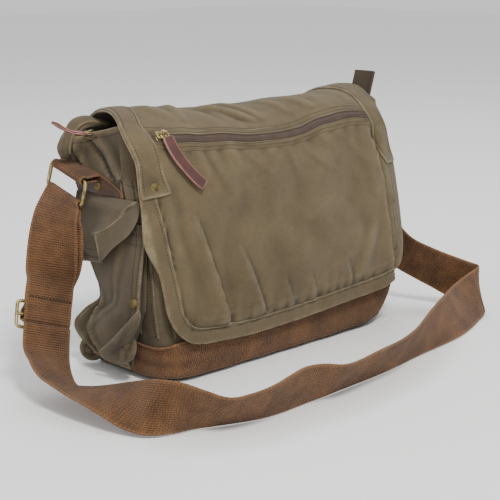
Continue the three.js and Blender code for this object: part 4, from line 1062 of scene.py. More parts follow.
def flap_disp(x, q):
    """(normal displacement, extra z, extra y) of the flap in mm."""
    x, q = np.broadcast_arrays(np.asarray(x, float), np.asarray(q, float))
    front = smooth01((q - 4) / 26)
    d = inset(x, q)
    n = np.zeros_like(x)
    # the panel stands up inside the border seam
    n += 2.2 * smooth01((d - 16.5) / 12) * smooth01((q - 30) / 30)
    n += 3.2 * np.clip(1 - (x / 168) ** 2, 0, 1) * smooth01((q - 20) / 60) * smooth01((230 - q) / 80)
    for x1, z1, x2, z2, h, wl, wr in FOLDS:
        n += seg_fold(x, q, x1, z1, x2, z2, h * 1.2, wl, wr) * smooth01((d - 15) / 10) * front
    for x1, q1, x2, q2, h, wl, wr in STEPS:
        dx, dq = x2 - x1, q2 - q1
        L_s = math.hypot(dx, dq)
        t_ = ((x - x1) * dx + (q - q1) * dq) / L_s ** 2
        s_ = ((x - x1) * dq - (q - q1) * dx) / L_s
        env = smooth01((t_ + 0.1) / 0.6) * smooth01((1.1 - t_) / 0.12)
        prof = np.where(s_ < 0, np.exp(-(s_ / wl) ** 2), 1 - 1.75 * smooth01(s_ / 4.5) * np.exp(-np.clip(s_ - 4.5, 0, 99) / wr) - smooth01(s_ / 4.5) * (1 - np.exp(-np.clip(s_ - 4.5, 0, 99) / wr)))
        n += h * env * prof * smooth01((d - 14) / 7)
    er = smooth01((q - 26) / 26) * smooth01((228 - q) / 30)
    sr = x - ridge_r(q)
    n += er * (2.0 * np.exp(-(np.minimum(sr, 0) / 14) ** 2) * (sr < 0) + (2.5 - 13.0 * smooth01(sr / 6.5) + 8.0 * smooth01((sr - 9) / 13)) * (sr >= 0))
    for x1, y1, x2, y2, h, wl, wr in TOPFOLDS:
        f = lambda y: float(np.interp(-y, -_fl[:, 0][_fd < S_FOLD + 5], _fd[_fd < S_FOLD + 5] - S_FOLD))
        n += seg_fold(x, q, x1, f(y1), x2, f(y2), h * 1.2, wl, wr) * smooth01((-2 - q) / 6)
    # puckers above the bottom seam
    B = q_bottom(x) - q
    for px, pa in zip(_puck_x, _puck_a):
        n -= pa * np.exp(-((x - px - 0.12 * (B - 16)) / 3.6) ** 2) * np.exp(-np.clip(B - 16, 0, 99) / 11) * smooth01((B - 13) / 3)
        n += 0.7 * pa * np.exp(-((x - px - 7) / 5) ** 2) * np.exp(-np.clip(B - 18, 0, 99) / 12) * smooth01((B - 15) / 3)
    # small puckers under the zip's stitching
    zq = zip_q(x)
    n += 0.55 * np.sin(x / 4.1 + 1.3 * np.sin(x / 17)) * np.exp(-np.clip(q - zq - 12, 0, 99) / 9) * smooth01((q - zq - 10) / 4)
    n += 0.35 * np.sin(x / 3.7 + 0.8) * np.exp(-np.clip(zq - 14 - q, 0, 99) / 8) * smooth01((zq - 12 - q) / 4)
    # gentle unevenness
    n += 0.9 * np.sin(x / 31 + q / 47 + 0.6) * np.sin(q / 29 - x / 83) * front + 0.5 * np.sin(x / 13.0 + q / 21.0)
    w1 = 1 - np.abs(np.sin(x / 33 + q / 41 + 0.9 * np.sin(x / 52 - q / 37)))
    w2 = 1 - np.abs(np.sin(x / 24 - q / 35 + 1.1 * np.sin(x / 45 + q / 60) + 1.7))
    n += (0.5 * w1 ** 2 + 0.4 * w2 ** 2) * smooth01((d - 15) / 12) * (0.35 + 0.65 * front)
    # the zip channel
    n += 0.9 * (np.exp(-((q - zq - 5.6) / 1.6) ** 2) + np.exp(-((q - zq + 5.6) / 1.6) ** 2)) * smooth01((150 - np.abs(x + 14)) / 6)
    # edges fall back round the bag
    y = 13 * smooth01((x - 140) / 60) ** 1.3 * smooth01((q - 10) / 60) * smooth01((260 - q) / 120)
    y += 5 * smooth01((-x - 160) / 40) * smooth01((q - 20) / 50)
    # sag of the top and of the fold line
    zc = interp(x, [-197, -160, -137, -98, -57, -14, 31, 70, 94, 125, 145, 169, 192], [1.0, 1.5, 2.5, -3.0, -5.0, -8.5, -7.0, -5.0, -4.5, -4.0, -1.0, 1.5, 1.5])
    zz = interp(x, [-197, -150, -124, -104, -77, -45, 0, 39, 64, 95, 133, 150, 192], [-2, 1, 1, -2, -4, -7, -8.5, -7, -3, -0.5, -1, -2, -4])
    wc = smooth01((q + 98) / 40) * smooth01((-8 - q) / 42)
    wz = smooth01((q + 40) / 38) * smooth01((78 - q) / 66)
    z = zc * wc + zz * wz
    return n, z, y


def zip_q(x):
    return sm_interp(np.asarray(x, float), [-197, -172, -161, -146, -116, -77, -39, 11, 29, 49, 68, 84, 116, 142, 192], [8, 9, 13, 18, 19, 18, 20, 21, 20, 17.5, 16, 16.5, 14, 16.5, 18])


def flap_p(x, q, off=0.0):
    """Point on the flap at x, q (distance below the fold), moved out by off."""
    x, q = np.broadcast_arrays(np.asarray(x, float), np.asarray(q, float))
    s = q + S_FOLD
    y = np.interp(s, _fd, _fl[:, 0])
    z = np.interp(s, _fd, _fl[:, 1])
    ty = np.interp(s, _fd, _ft[:, 0])
    tz = np.interp(s, _fd, _ft[:, 1])
    n, dz, dy = flap_disp(x, q)
    n = n + off
    return np.stack([x, y + tz * n + dy, z - ty * n + dz], -1)


def flap_n(x, q):
    e = 0.8
    du = flap_p(x + e, q) - flap_p(x - e, q)
    dv = flap_p(x, q + e) - flap_p(x, q - e)
    n = np.cross(dv, du)
    return n / np.maximum(np.linalg.norm(n, axis=-1, keepdims=True), 1e-9)


def on_flap(x, q, off):
    """True normal offset."""
    return flap_p(x, q) + flap_n(x, q) * off


QS = -38.0  # where the two flap meshes meet
FT = 2.2


def flap_grid(qs, nx):
    u = np.linspace(0, 1, nx)
    u = (u + 0.10 * (smooth01(u) - u))
    rows, wear = [], []
    for q in qs:
        x0, x1 = float(xl(q)), float(xr(q))
        # round the bottom corners
        qb0, qb1 = float(q_bottom(x0 + RC)), float(q_bottom(x1 - RC))
        d0, d1 = q - (qb0 - RC), q - (qb1 - RC)
        a0 = x0 + (RC - math.sqrt(max(0, RC ** 2 - max(0, d0) ** 2)) if d0 > 0 else 0)
        a1 = x1 - (RC - math.sqrt(max(0, RC ** 2 - max(0, d1) ** 2)) if d1 > 0 else 0)
        rows.append(np.stack([a0 + (a1 - a0) * u, np.full(nx, q)], -1))
    return np.array(rows)


NX = 120 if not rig.quick() else 90
# upper part, back seam to the middle of the top
qs = np.linspace(Q_BACK, QS, 34)
G = flap_grid(qs, NX)
P = flap_p(G[..., 0], G[..., 1])
dE = np.minimum(G[..., 0] - xl(G[..., 1]), xr(G[..., 1]) - G[..., 0])
sheet("flap_canvas_top", P, FT, CAN, BL_TOP, wear=0.55 * np.exp(-dE / 1.5), flip=True)
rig.replaces(PIECES["flap_canvas_top"], "flap_top_panel")
# lower part: the rows follow the bottom edge
vq = np.concatenate([np.linspace(0, 0.80, 74, endpoint=False), np.linspace(0.80, 1, 34)])
rows = []
u = np.linspace(0, 1, NX)
for v in vq:
    qn = QS + (Q_END - QS) * v
    k = smooth01((v - 0.45) / 0.55)
    xs0, xs1 = float(xl(qn)), float(xr(qn))
    # corner rounding measured from the local bottom edge
    def edge_x(side):
        xx = xs0 if side < 0 else xs1
        qb = float(q_bottom(xx - side * RC * 0.6))
        q_here = qn + (qb - Q_END) * k
        dd = q_here - (qb - RC)
        ins = RC - math.sqrt(max(0.0, RC ** 2 - min(RC, max(0.0, dd)) ** 2))
        return xx - side * ins
    a0, a1 = edge_x(-1), edge_x(1)
    xx = a0 + (a1 - a0) * u
    qq = qn + (q_bottom(xx) - Q_END) * k
    rows.append(np.stack([xx, qq], -1))
G2 = np.array(rows)
P2 = flap_p(G2[..., 0], G2[..., 1])
d2 = inset(G2[..., 0], G2[..., 1])
dE = np.minimum(np.minimum(G2[..., 0] - xl(G2[..., 1]), xr(G2[..., 1]) - G2[..., 0]), d2)
wear = 0.8 * np.exp(-np.clip(dE, 0, 99) / 1.2) + 0.7 * np.exp(-((d2 - 16.0) / 1.2) ** 2) * (G2[..., 1] > 60)
sr2 = G2[..., 0] - ridge_r(G2[..., 1])
# painted shade: a dark line in the groove just inside the border seam, and along the valley beside the right-hand ridge
dirt = 0.8 * np.exp(-((d2 - 18.0) / 1.1) ** 2) * (G2[..., 1] > 62) + 0.34 * np.exp(-((sr2 - 6.5) / 4.5) ** 2) * smooth01((G2[..., 1] - 40) / 40)
sheet("flap_canvas_front", P2, FT, CAN, BL_FRONT, wear=wear, dirt=dirt, flip=True)
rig.replaces(PIECES["flap_canvas_front"], "flap_front_panel")
# lining of the flap
qs = np.linspace(26, 1, 2)
GL = G2[10:-3, 3:-3]
PL = flap_p(GL[..., 0], GL[..., 1]) - flap_n(GL[..., 0], GL[..., 1]) * (FT / 2 + 1.3)
sheet("flap_lining_cloth", PL, 0.8, LIN, "flap_front", flip=True)
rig.replaces(PIECES["flap_lining_cloth"], "flap_lining")


def flap_line(xq, off=FT / 2, n=None, step=2.5):
    """Points and normals along a line of (x, q) on the flap's outside."""
    a = resample(np.asarray(xq, float), step)
    return on_flap(a[:, 0], a[:, 1], off), flap_n(a[:, 0], a[:, 1])


def border_line(d, q_from=70.0):
    """The flap's edge moved in by d, from the left band round to the right one."""
    L = [(float(seam_l(q)) - 16 + d, q) for q in np.linspace(q_from, float(q_bottom(-150)) - RC, 20)]
    cx, cq = float(seam_l(200)) - 16 + RC, float(q_bottom(-150)) - RC
    A = [(cx - (RC - d) * math.cos(a), cq + (RC - d) * math.sin(a)) for a in np.linspace(0, math.pi / 2, 14)[1:]]
    cx2, cq2 = float(xr(200)) - RC, float(q_bottom(150)) - RC
    B = [(xx, float(q_bottom(xx)) - d) for xx in np.linspace(cx, cx2, 60)[1:-1]]
    C = [(cx2 + (RC - d) * math.sin(a), cq2 + (RC - d) * math.cos(a)) for a in np.linspace(0, math.pi / 2, 14)]
    D = [(float(xr(q)) - d, q) for q in np.linspace(cq2, q_from, 20)[1:]]
    return L + A + B + C + D


p, n = flap_line(border_line(16.0), FT / 2 + 0.15)
tube("flap_border_seam", p, 0.7, CAN, "flap_front", sides=6, wear=1.0)
p, n = flap_line(border_line(13.2), FT / 2)
stitches(p, n, "flap_front", THR_D, 3.3, 2.2, 0.42)

# stitch rows each side of the zip
for off_, x0, x1 in ((-13.0, -168, 141), (-7.6, -168, 141), (8.4, -166, 141), (12.8, -164, 141)):
    xx = np.linspace(x0, x1, 120)
    qq = zip_q(xx) + off_
    p = on_flap(xx, qq, FT / 2)
    stitches(p, flap_n(xx, qq), BL_FRONT, THR_D, 3.2, 2.2, 0.42)

# zip: two tapes, a coil between them, and rolled canvas lips
xx = np.linspace(-171, 143, 150)
def strip(q0, q1, n0, n1, cols=5):
    qs_ = np.linspace(q0, q1, cols)
    ns_ = np.linspace(n0, n1, cols)
    return np.array([on_flap(xx, zip_q(xx) + a, b) for a, b in zip(qs_, ns_)])


Pz = strip(-4.6, -0.9, FT / 2 + 0.4, FT / 2 + 1.0)
sheet("flap_zip_tape_upper", Pz, 0.9, TAPE, BL_FRONT, flip=True)
Pz = strip(0.9, 4.6, FT / 2 + 1.0, FT / 2 + 0.4)
sheet("flap_zip_tape_lower", Pz, 0.9, TAPE, BL_FRONT, flip=True)
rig.replaces(PIECES["flap_zip_tape_upper"], "flap_zip_tape")
# coil
xc_ = np.arange(-169, 141, 1.15)
parts = []
base = on_flap(xc_, zip_q(xc_), FT / 2 + 0.7)
nn = flap_n(xc_, zip_q(xc_))
ca, cb = on_flap(xc_, zip_q(xc_) - 0.65, FT / 2 + 0.9), on_flap(xc_, zip_q(xc_) + 0.65, FT / 2 + 0.9)
for k in range(len(xc_) - 1):
    a, b = ca[k], cb[k]
    m = base[k] + nn[k] * 0.6
    parts.append(tube_mesh([a, (a + m) / 2 + nn[k] * 0.2, m, (b + m) / 2 + nn[k] * 0.2, b], 0.4, 5))
V, F, UV = join(parts)
coil = make("flap_zip_coil_teeth", V, F, COIL, BL_FRONT, uv=UV, smooth=0)
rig.replaces(coil, "flap_zip_coil")
for sg, nm in ((-1, "upper"), (1, "lower")):
    qq = zip_q(xx) + sg * 5.3
    p = on_flap(xx, qq, FT / 2 + 0.1)
    tube("flap_zip_lip_" + nm, p, 0.85, CAN, BL_FRONT, sides=7, wear=0.2)
    p = on_flap(xx, zip_q(xx) + sg * 4.5, FT / 2 + 0.55)
    tube("flap_zip_edge_" + nm, p, 0.5, WEBD, BL_FRONT, sides=6)

# reinforcement bands
def band(side):
    sg = -1 if side == "left" else 1
    if sg < 0:
        eL = lambda q: xl(q) + 0.9
        eR = lambda q: sm_interp(q, [-115, -42, -3, 26, 49, 71], [-140, -154, -170, -168, -167, -160])
        qe = 71.5
    else:
        eL = lambda q: sm_interp(q, [-115, -39, -19, 13, 35, 55, 76], [145, 143, 148, 143, 145, 154, 165.5])
        eR = lambda q: xr(q) - 0.9
        qe = 76.5
    for part, q0, q1, body in (("top", Q_BACK + 3, QS, BL_TOP), ("front", QS, qe, BL_FRONT)):
        qs_ = np.linspace(q0, q1, int((q1 - q0) / 2.4) + 2)
        us = np.array([-1, -0.97, -0.9, -0.75, -0.4, 0, 0.4, 0.75, 0.9, 0.97, 1])
        a_, b_ = eL(qs_), eR(qs_)
        gx = (a_ + b_)[:, None] / 2 + (b_ - a_)[:, None] / 2 * us[None, :]
        gq = np.repeat(qs_[:, None], len(us), 1)
        if sg < 0:
            gq = gq - 3.0 * (us[None, :] + 1) / 2 * smooth01((gq - 50) / 20)
        puff = 0.5 * np.clip(1 - us ** 4, 0, 1)[None, :]
        puff = puff + 0.5 * (np.sin(qs_ / 5.0) + 0.8 * np.sin(qs_ / 11.0 + 1))[:, None] * (1 - us ** 2)[None, :]
        P = flap_p(gx, gq) + flap_n(gx, gq) * (FT / 2 + 0.9 + puff)[..., None]
        w = 0.9 * np.exp(-(1 - np.abs(us)) * 13 / 1.1)[None, :] * np.ones((len(qs_), 1))
        if part == "front":
            w = np.maximum(w, 0.9 * np.exp(-(qe - qs_) / 1.3)[:, None])
        sheet(f"{side}_band_{part}_cloth", P, 1.7, CAN, body, wear=w, flip=True)
        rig.replaces(PIECES[f"{side}_band_{part}_cloth"], f"{side}_band_{part}")
        for u_ in (-0.78, 0.78):
            qs2 = np.linspace(q0, q1 - (3.2 if part == "front" else 0), 60)
            xs_ = (eL(qs2) + eR(qs2)) / 2 + u_ * (eR(qs2) - eL(qs2)) / 2
            p = flap_p(xs_, qs2) + flap_n(xs_, qs2) * (FT / 2 + 2.1)
            stitches(p, flap_n(xs_, qs2), body, THR_D, 3.3, 2.2, 0.42)
    for q_ in (qe - 3.0,):
        xs_ = np.linspace(float(eL(q_)) + 3, float(eR(q_)) - 3, 12)
        qs2 = np.full(12, q_) - (3.0 * np.linspace(0.1, 0.9, 12) if sg < 0 else 0)
        p = flap_p(xs_, qs2) + flap_n(xs_, qs2) * (FT / 2 + 2.1)
        stitches(p, flap_n(xs_, qs2), BL_FRONT, THR_D, 3.1, 2.2, 0.42)


band("left")
band("right")


def dome(name, c, nrm, r, h, mat, body, n=28):
    """A rivet cap with a rolled rim."""
    nrm = np.asarray(nrm, float) / np.linalg.norm(nrm)
    a = np.cross(nrm, [0.3, 0.2, 1])
    a /= np.linalg.norm(a)
    b = np.cross(nrm, a)
    prof = [(r * 0.9, -0.6), (r, 0.0), (r * 0.99, h * 0.35), (r * 0.9, h * 0.62), (r * 0.82, h * 0.55), (r * 0.74, h * 0.62), (r * 0.5, h * 0.92), (r * 0.22, h)]
    V, F = [], []
    for rr, hh in prof:
        for k in range(n):
            t = 2 * math.pi * k / n
            V.append(c + a * rr * math.cos(t) + b * rr * math.sin(t) + nrm * hh)
    for j in range(len(prof) - 1):
        for k in range(n):
            k2 = (k + 1) % n
            F.append((j * n + k, j * n + k2, (j + 1) * n + k2, (j + 1) * n + k))
    V.append(c + nrm * h)
    top = len(V) - 1
    V.append(c - nrm * 0.6)
    bot = len(V) - 1
    for k in range(n):
        k2 = (k + 1) % n
        F.append((top, (len(prof) - 1) * n + k, (len(prof) - 1) * n + k2))
        F.append((bot, k2, k))
    # faces out
    V = np.array(V)
    f = F[0]
    nn_ = np.cross(V[f[1]] - V[f[0]], V[f[2]] - V[f[0]])
    mid_ = V[list(f)].mean(0) - c
    if nn_ @ (mid_ - nrm * (mid_ @ nrm)) < 0:
        F = [q[::-1] for q in F]
    return make(name, V, F, mat, body, smooth=50)


for side, x0, q0 in (("left", -176.0, 61.0), ("right", 178.0, 66.0)):
    c0 = flap_p(x0, q0) + flap_n(x0, q0) * (FT / 2 + 2.1)
    dome(side + "_flap_rivet_cap", c0, flap_n(x0, q0), 5.2, 1.2, BRAD, "flap_front")
    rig.replaces(PIECES[side + "_flap_rivet_cap"], side + "_flap_rivet")

# flap zip slider: body, bail and the doubled leather pull
zc = zip_q(np.array([-158.0]))[0]
o_ = on_flap(-158.0, zc, FT / 2)
nz = flap_n(-158.0, zc)
dx_ = np.array([1.0, 0, 0])
dd_ = np.cross(nz, dx_)
dd_ /= np.linalg.norm(dd_)
if dd_[2] > 0:
    dd_ = -dd_


def loc(a, b, n):
    return o_ + dx_ * a + dd_ * b + nz * n


def soft_box(pts_fn, a0, a1, b0, b1, n0, n1, r=0.8):
    """A box with bevelled edges in a local frame."""
    V, F = [], []
    levels = [(n0, r), (n0 + r, 0), (n1 - r, 0), (n1, r)]
    for n_, ins in levels:
        for x_, y_ in ((a0 + ins + r, b0 + ins), (a1 - ins - r, b0 + ins), (a1 - ins, b0 + ins + r), (a1 - ins, b1 - ins - r), (a1 - ins - r, b1 - ins), (a0 + ins + r, b1 - ins), (a0 + ins, b1 - ins - r), (a0 + ins, b0 + ins + r)):
            V.append(pts_fn(x_, y_, n_))
    for j in range(3):
        for k in range(8):
            k2 = (k + 1) % 8
            F.append((j * 8 + k, j * 8 + k2, (j + 1) * 8 + k2, (j + 1) * 8 + k))
    F.append(tuple(range(24, 32)))
    F.append(tuple(range(7, -1, -1)))
    V = np.array(V)
    f = F[-2]
    if np.cross(V[f[1]] - V[f[0]], V[f[2]] - V[f[0]]) @ (V[24:32].mean(0) - V[0:8].mean(0)) < 0:
        F = [q[::-1] for q in F]
    return V, F, np.zeros((len(V), 2))


parts = [soft_box(loc, -6, 6, -4.2, 4.2, 3.0, 5.2), soft_box(loc, -6, 6, -4.2, 4.2, 0.6, 1.7, 0.4)]
parts.append(tube_mesh([loc(-4.5, 0, 5), loc(-4.0, 0, 7.6), loc(-1, 0, 8.6), loc(2.5, 0, 8.2), loc(3.6, 0, 5)], 0.9, 10))
parts.append(tube_mesh([loc(1.0 + 3.6 * math.cos(a), 2.5 + 5.4 * math.sin(a), 7.0 + 1.2 * math.cos(a)) for a in np.linspace(0, 2 * math.pi, 20, endpoint=False)], 0.85, 10, True))
V, F, UV = join(parts)
make("flap_zip_slider_body", V, F, BRA, "flap_zip_slider", uv=UV)
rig.replaces(PIECES["flap_zip_slider_body"], "flap_zip_slider")


def pull(name, line, wdir, width, mat, edge_mat, body, t=1.3, gap=0.5, stitch=True, thread=None):
    """A leather strip folded double: two leaves with pale cut edges, sewn round."""
    line = resample(line, 2.0)
    T = np.gradient(line, axis=0)
    T /= np.linalg.norm(T, axis=1, keepdims=True)
    W = wdir - T * (T @ wdir)[:, None]
    W /= np.linalg.norm(W, axis=1, keepdims=True)
    N = np.cross(T, W)
    us = np.array([-1, -0.96, -0.8, -0.4, 0, 0.4, 0.8, 0.96, 1])
    obs = []
    for lay, off_ in (("a", (t + gap) / 2), ("b", -(t + gap) / 2)):
        w_ = width / 2 * np.ones(len(line))
        w_[0] *= 0.8
        P = line[:, None, :] + W[:, None, :] * (us[None, :, None] * w_[:, None, None]) + N[:, None, :] * off_
        we = np.maximum(np.exp(-(1 - np.abs(us)) * width / 2 / 0.5)[None, :] * np.ones((len(line), 1)) * 0.7, 0)
        ob = sheet(f"{name}_{lay}", P, t, mat, body, wear=we, rim=0.3)
        obs.append(ob)
        # pale cut edge
        for e in (-1, 1):
            q_ = line + W * (e * (w_[:, None] + 0.1)) + N * off_
            tube(f"{name}_{lay}_edge{'lr'[e > 0]}", q_, t * 0.36, edge_mat, body, sides=8)
        q_ = line[-1] + W[-1] * (us[:, None] * width / 2) + N[-1] * off_ + T[-1] * 0.3
        tube(f"{name}_{lay}_edge_end", q_, t * 0.36, edge_mat, body, sides=8)
    if stitch:
        for e in (-0.72, 0.72):
            q_ = line + W * (e * width / 2) + N * ((t + gap) / 2 + t / 2)
            stitches(q_[3:-2], N[3:-2], body, thread or THR_P, 2.6, 1.8, 0.32)
        q_ = line[-3] + W[-3] * (np.linspace(-0.72, 0.72, 8)[:, None] * width / 2) + N[-3] * ((t + gap) / 2 + t / 2)
        stitches(q_, np.repeat(N[-3][None], 8, 0), body, thread or THR_P, 2.6, 1.8, 0.32)
    return obs


def fq(x_, q_, off_):
    return flap_p(x_, q_) + flap_n(x_, q_) * off_


ln = crv([loc(2.0, 6.0, 8.2), fq(-153, 30, 8.6), fq(-146.5, 41, 7.4), fq(-137.5, 50.5, 6.8), fq(-129, 59, 6.4), fq(-122.5, 65.5, 6.8)], 60)
wd = np.array([0.80, 0.10, 0.55])
pl = pull("flap_zip_pull_leaf", ln, wd, 10.0, LEA, PINK, "flap_zip_pull")
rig.replaces(pl[0], "flap_zip_pull")

# ------------------------------------------------------------------ bag shell
def yf(z):
    return sm_interp(z, [0, 14, 40, 110, 150, 196, 250], [-72, -77, -79, -74, -67, -57, -43])


def corners(z):
    flx = sm_interp(z, [0, 15, 60, 120, 200, 250], [-172, -180, -185, -187, -188, -186])
    blx = sm_interp(z, [0, 14, 40, 70, 95, 112, 142, 168, 184, 211, 236], [-172, -170, -161, -156, -160, -168, -178, -184, -188, -196, -195])
    frx = sm_interp(z, [0, 15, 60, 120, 200, 250], [166, 176, 185, 188, 188, 186])
    brx = sm_interp(z, [0, 15, 60, 120, 200, 250], [170, 176, 180, 182, 186, 188])
    yb = sm_interp(z, [0, 20, 60, 150, 236], [46, 52, 55, 55, 51])
    yfr = yf(z) + sm_interp(z, [0, 30, 90, 250], [7, 4, 1, 0])
    return np.array([[flx, yf(z)], [frx, yfr], [brx, yb], [blx, yb]], float)


def rounded(cn, radii, per_edge=(60, 30, 60, 30), per_arc=9):
    """Closed outline through rounded corners, anticlockwise from above, starting on the front edge at the left."""
    pts = []
    n = 4
    for i in range(n):
        p0, p1, p2 = cn[i - 1], cn[i], cn[(i + 1) % n]
        d0 = (p0 - p1) / np.linalg.norm(p0 - p1)
        d1 = (p2 - p1) / np.linalg.norm(p2 - p1)
        r = radii[i]
        a, b = p1 + d0 * r, p1 + d1 * r
        for t in np.linspace(0, 1, per_arc):
            pts.append((1 - t) ** 2 * a + 2 * t * (1 - t) * (p1 * 0.82 + (a + b) / 2 * 0.18) + t ** 2 * b)
        q2 = p2 + (p1 - p2) / np.linalg.norm(p1 - p2) * radii[(i + 1) % n]
        for t in np.linspace(0, 1, per_edge[i] + 2)[1:-1]:
            pts.append(b * (1 - t) + q2 * t)
    return np.array(pts)


PA, PE = 9, (56, 26, 56, 26)
seg = {}
_o = 0
for nm_, cnt in (("arc_fl", PA), ("front", PE[0]), ("arc_fr", PA), ("right", PE[1]), ("arc_br", PA), ("back", PE[2]), ("arc_bl", PA), ("left", PE[3])):
    seg[nm_] = (_o, _o + cnt)
    _o += cnt
NC = _o


def side_top(x, y):
    """Height of the shell's top edge, which climbs towards the front on the sides."""
    side_z = np.interp(y, [-78, -60, -45, -19, 0, 17, 35, 53], [214, 226, 248, 257, 251, 246, 238, 233])
    front_z = np.full_like(np.asarray(x, float), 240.0)
    back_z = 247 + 3 * np.cos(np.asarray(x) / 60.0)
    k = smooth01((np.abs(x) - 150) / 28)
    base = np.where(np.asarray(y) > 40, back_z, front_z)
    return base * (1 - k) + side_z * k


ZL = 56
levels = np.linspace(0, 1, ZL) ** 0.95
top_ref = rounded(corners(236), (34, 34, 14, 14), PE, PA)
ztop = side_top(top_ref[:, 0], top_ref[:, 1])
Z0 = 3.0
shell = np.zeros((ZL, NC, 3))
for j, v in enumerate(levels):
    zz_ = Z0 + (ztop - Z0) * v
    for grp in (zz_,):
        # outline at each column's own height
        hs = np.round(zz_, 1)
        cache = {}
        for i in range(NC):
            h = hs[i]
            if h not in cache:
                fr = float(np.interp(h, [0, 30, 100, 250], [40, 30, 24, 22]))
                cache[h] = rounded(corners(h), (fr, fr + 8, 14, 14), PE, PA)
            shell[j, i, :2] = cache[h][i]
            shell[j, i, 2] = zz_[i]
X, Y, Zz = shell[..., 0], shell[..., 1], shell[..., 2]
col = np.arange(NC)
left_cols = (col >= seg["left"][0]) | (col < seg["arc_fl"][1])
tl = np.zeros(NC)
a0, a1 = seg["left"]
tl[a0:a1] = np.linspace(0, 1, a1 - a0)  # 0 at the back, 1 at the front


def push(mask_cols, dx=0.0, dy=0.0):
    pass


# left side: dart, gusset seam and soft hollows
L_ = shell[:, a0:a1, :]
yy, zz = L_[..., 1], L_[..., 2]
dart2 = 5.5 * np.exp(-(((yy - 40) - (zz - 222) * 0.75) / 4.0) ** 2) * np.exp(-((zz - 220) / 14) ** 2) - 3.5 * np.exp(-(((yy - 31) - (zz - 222) * 0.6) / 5.0) ** 2) * np.exp(-((zz - 220) / 16) ** 2)
hollow = -6.0 * np.exp(-((yy + 10) / 30) ** 2) * np.exp(-((zz - 225) / 22) ** 2)  # pressed in under the flap
dart = 4.0 * np.exp(-(((yy - 34) - (zz - 214) * 0.45) / 5.0) ** 2) * np.exp(-((zz - 214) / 18) ** 2)
ridge = -3.5 * np.exp(-(((yy - 44) - (zz - 214) * 0.35) / 5.0) ** 2) * np.exp(-((zz - 216) / 22) ** 2)
seamy = np.interp(zz, [186, 192, 198, 205, 216, 229, 245, 258], [-70, -56, -43, -15, -3, 9, 25, 30])
crease = 2.2 * np.exp(-((yy - seamy) / 3.0) ** 2) * smooth01((zz - 188) / 10)
bulge2 = -3.0 * np.exp(-((yy - seamy + 14) / 9.0) ** 2) * smooth01((zz - 190) / 12)
L_[..., 0] += -hollow + 0.5 * dart + dart2 + ridge + crease * 1.6 + bulge2 * 1.5 + 0.8 * np.sin(yy / 9 + zz / 17)
shell[:, a0:a1, :] = L_
# rear top corner rolls outwards
bl0, bl1 = seg["arc_bl"]
for i in list(range(bl0 - 8, bl1 + 5)):
    k = smooth01((shell[:, i, 2] - 206) / 28)
    w = math.exp(-((i - (bl0 + 5)) / 5.5) ** 2)
    shell[:, i, 0] -= 5.0 * k * w
    shell[:, i, 2] += 4.0 * k * w
# right side soft folds
r0, r1 = seg["right"]
Rg = shell[:, r0:r1, :]
Rg[..., 0] += 2.2 * np.sin(Rg[..., 1] / 13 + Rg[..., 2] / 40) - 4 * np.exp(-((Rg[..., 1] - 0) / 30) ** 2) * np.exp(-((Rg[..., 2] - 222) / 25) ** 2)
# back: lies soft, with a few long folds
b0, b1 = seg["back"]
Bk = shell[:, b0:b1, :]
xb_, zb_ = Bk[..., 0], Bk[..., 2]
Bk[..., 1] += (1.8 * np.sin(xb_ / 37 + zb_ / 90) * np.sin(zb_ / 50 + 0.5) + 1.3 * np.sin(xb_ / 19 - zb_ / 33) * np.exp(-((zb_ - 60) / 60) ** 2)) * smooth01((zb_ - 8) / 20) * smooth01((240 - zb_) / 30) - 1.0
for x1_, z1_, x2_, z2_, h_, w_ in ((-120, 60, -60, 120, 2.6, 9), (-150, 40, -118, 110, -2.4, 10), (110, 50, 60, 118, 2.4, 10), (140, 90, 120, 180, 2.0, 9), (-70, 215, -40, 120, -1.8, 12), (70, 215, 30, 130, 1.8, 12), (-20, 30, 40, 70, 1.8, 12), (-150, 200, -130, 120, 2.0, 9)):
    Lb = math.hypot(x2_ - x1_, z2_ - z1_)
    tb = ((xb_ - x1_) * (x2_ - x1_) + (zb_ - z1_) * (z2_ - z1_)) / Lb ** 2
    sb = ((xb_ - x1_) * (z2_ - z1_) - (zb_ - z1_) * (x2_ - x1_)) / Lb
    Bk[..., 1] += 0.85 * h_ * np.exp(-(sb / w_) ** 2) * smooth01((tb + 0.2) / 0.4) * smooth01((1.2 - tb) / 0.4)
# front left gusset folds beside the pocket
f0, f1 = seg["arc_fl"]
for i in range(f0, f1):
    shell[:, i, 0] += 1.2 * np.sin((shell[:, i, 2]) / 17)
FrG = shell[:, seg["front"][0]:seg["front"][1], :]
FrG[..., 1] += 1.5 * np.sin(FrG[..., 0] / 15 + FrG[..., 2] / 25) * smooth01((FrG[..., 2] - 40) / 30) * np.exp(-((FrG[..., 0] + 150) / 30) ** 2)
for i in list(range(seg["front"][0], seg["front"][0] + 20)):
    xx_, zz_ = shell[:, i, 0], shell[:, i, 2]
    rdg = -176 + (zz_ - 44) * 0.62
    shell[:, i, 1] -= 5.0 * np.exp(-((xx_ - rdg) / 5.0) ** 2) * smooth01((zz_ - 40) / 12) * smooth01((90 - zz_) / 20)
shell_n = grid_normals(shell, True)
wear = 0.7 * np.exp(-(1 - levels)[:, None] * 240 / 1.6) * np.ones((1, NC))
# painted shade: the shell darkens over its lowest few millimetres, where it meets the base
dirt = 0.5 * np.exp(-levels[:, None] * 240 / 6.0) * np.ones((1, NC))
# painted shade in the groove of the left gusset seam
gusset_seam_shade = np.zeros((ZL, NC))
gusset_seam_shade[:, a0:a1] = 0.35 * np.exp(-((shell[:, a0:a1, 1] - np.interp(shell[:, a0:a1, 2], [186, 192, 198, 205, 216, 229, 245, 258], [-70, -56, -43, -15, -3, 9, 25, 30])) / 1.6) ** 2) * (shell[:, a0:a1, 2] > 190)
sheet("bag_shell", shell, 2.0, CAN_SHADED, "bag", wear=wear, dirt=np.clip(dirt + gusset_seam_shade, 0, 1), wrap=True, uvoff=(0.3, 0.1))
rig.replaces(PIECES["bag_shell"], "front_panel", "back_panel", "left_side_panel", "right_side_panel")
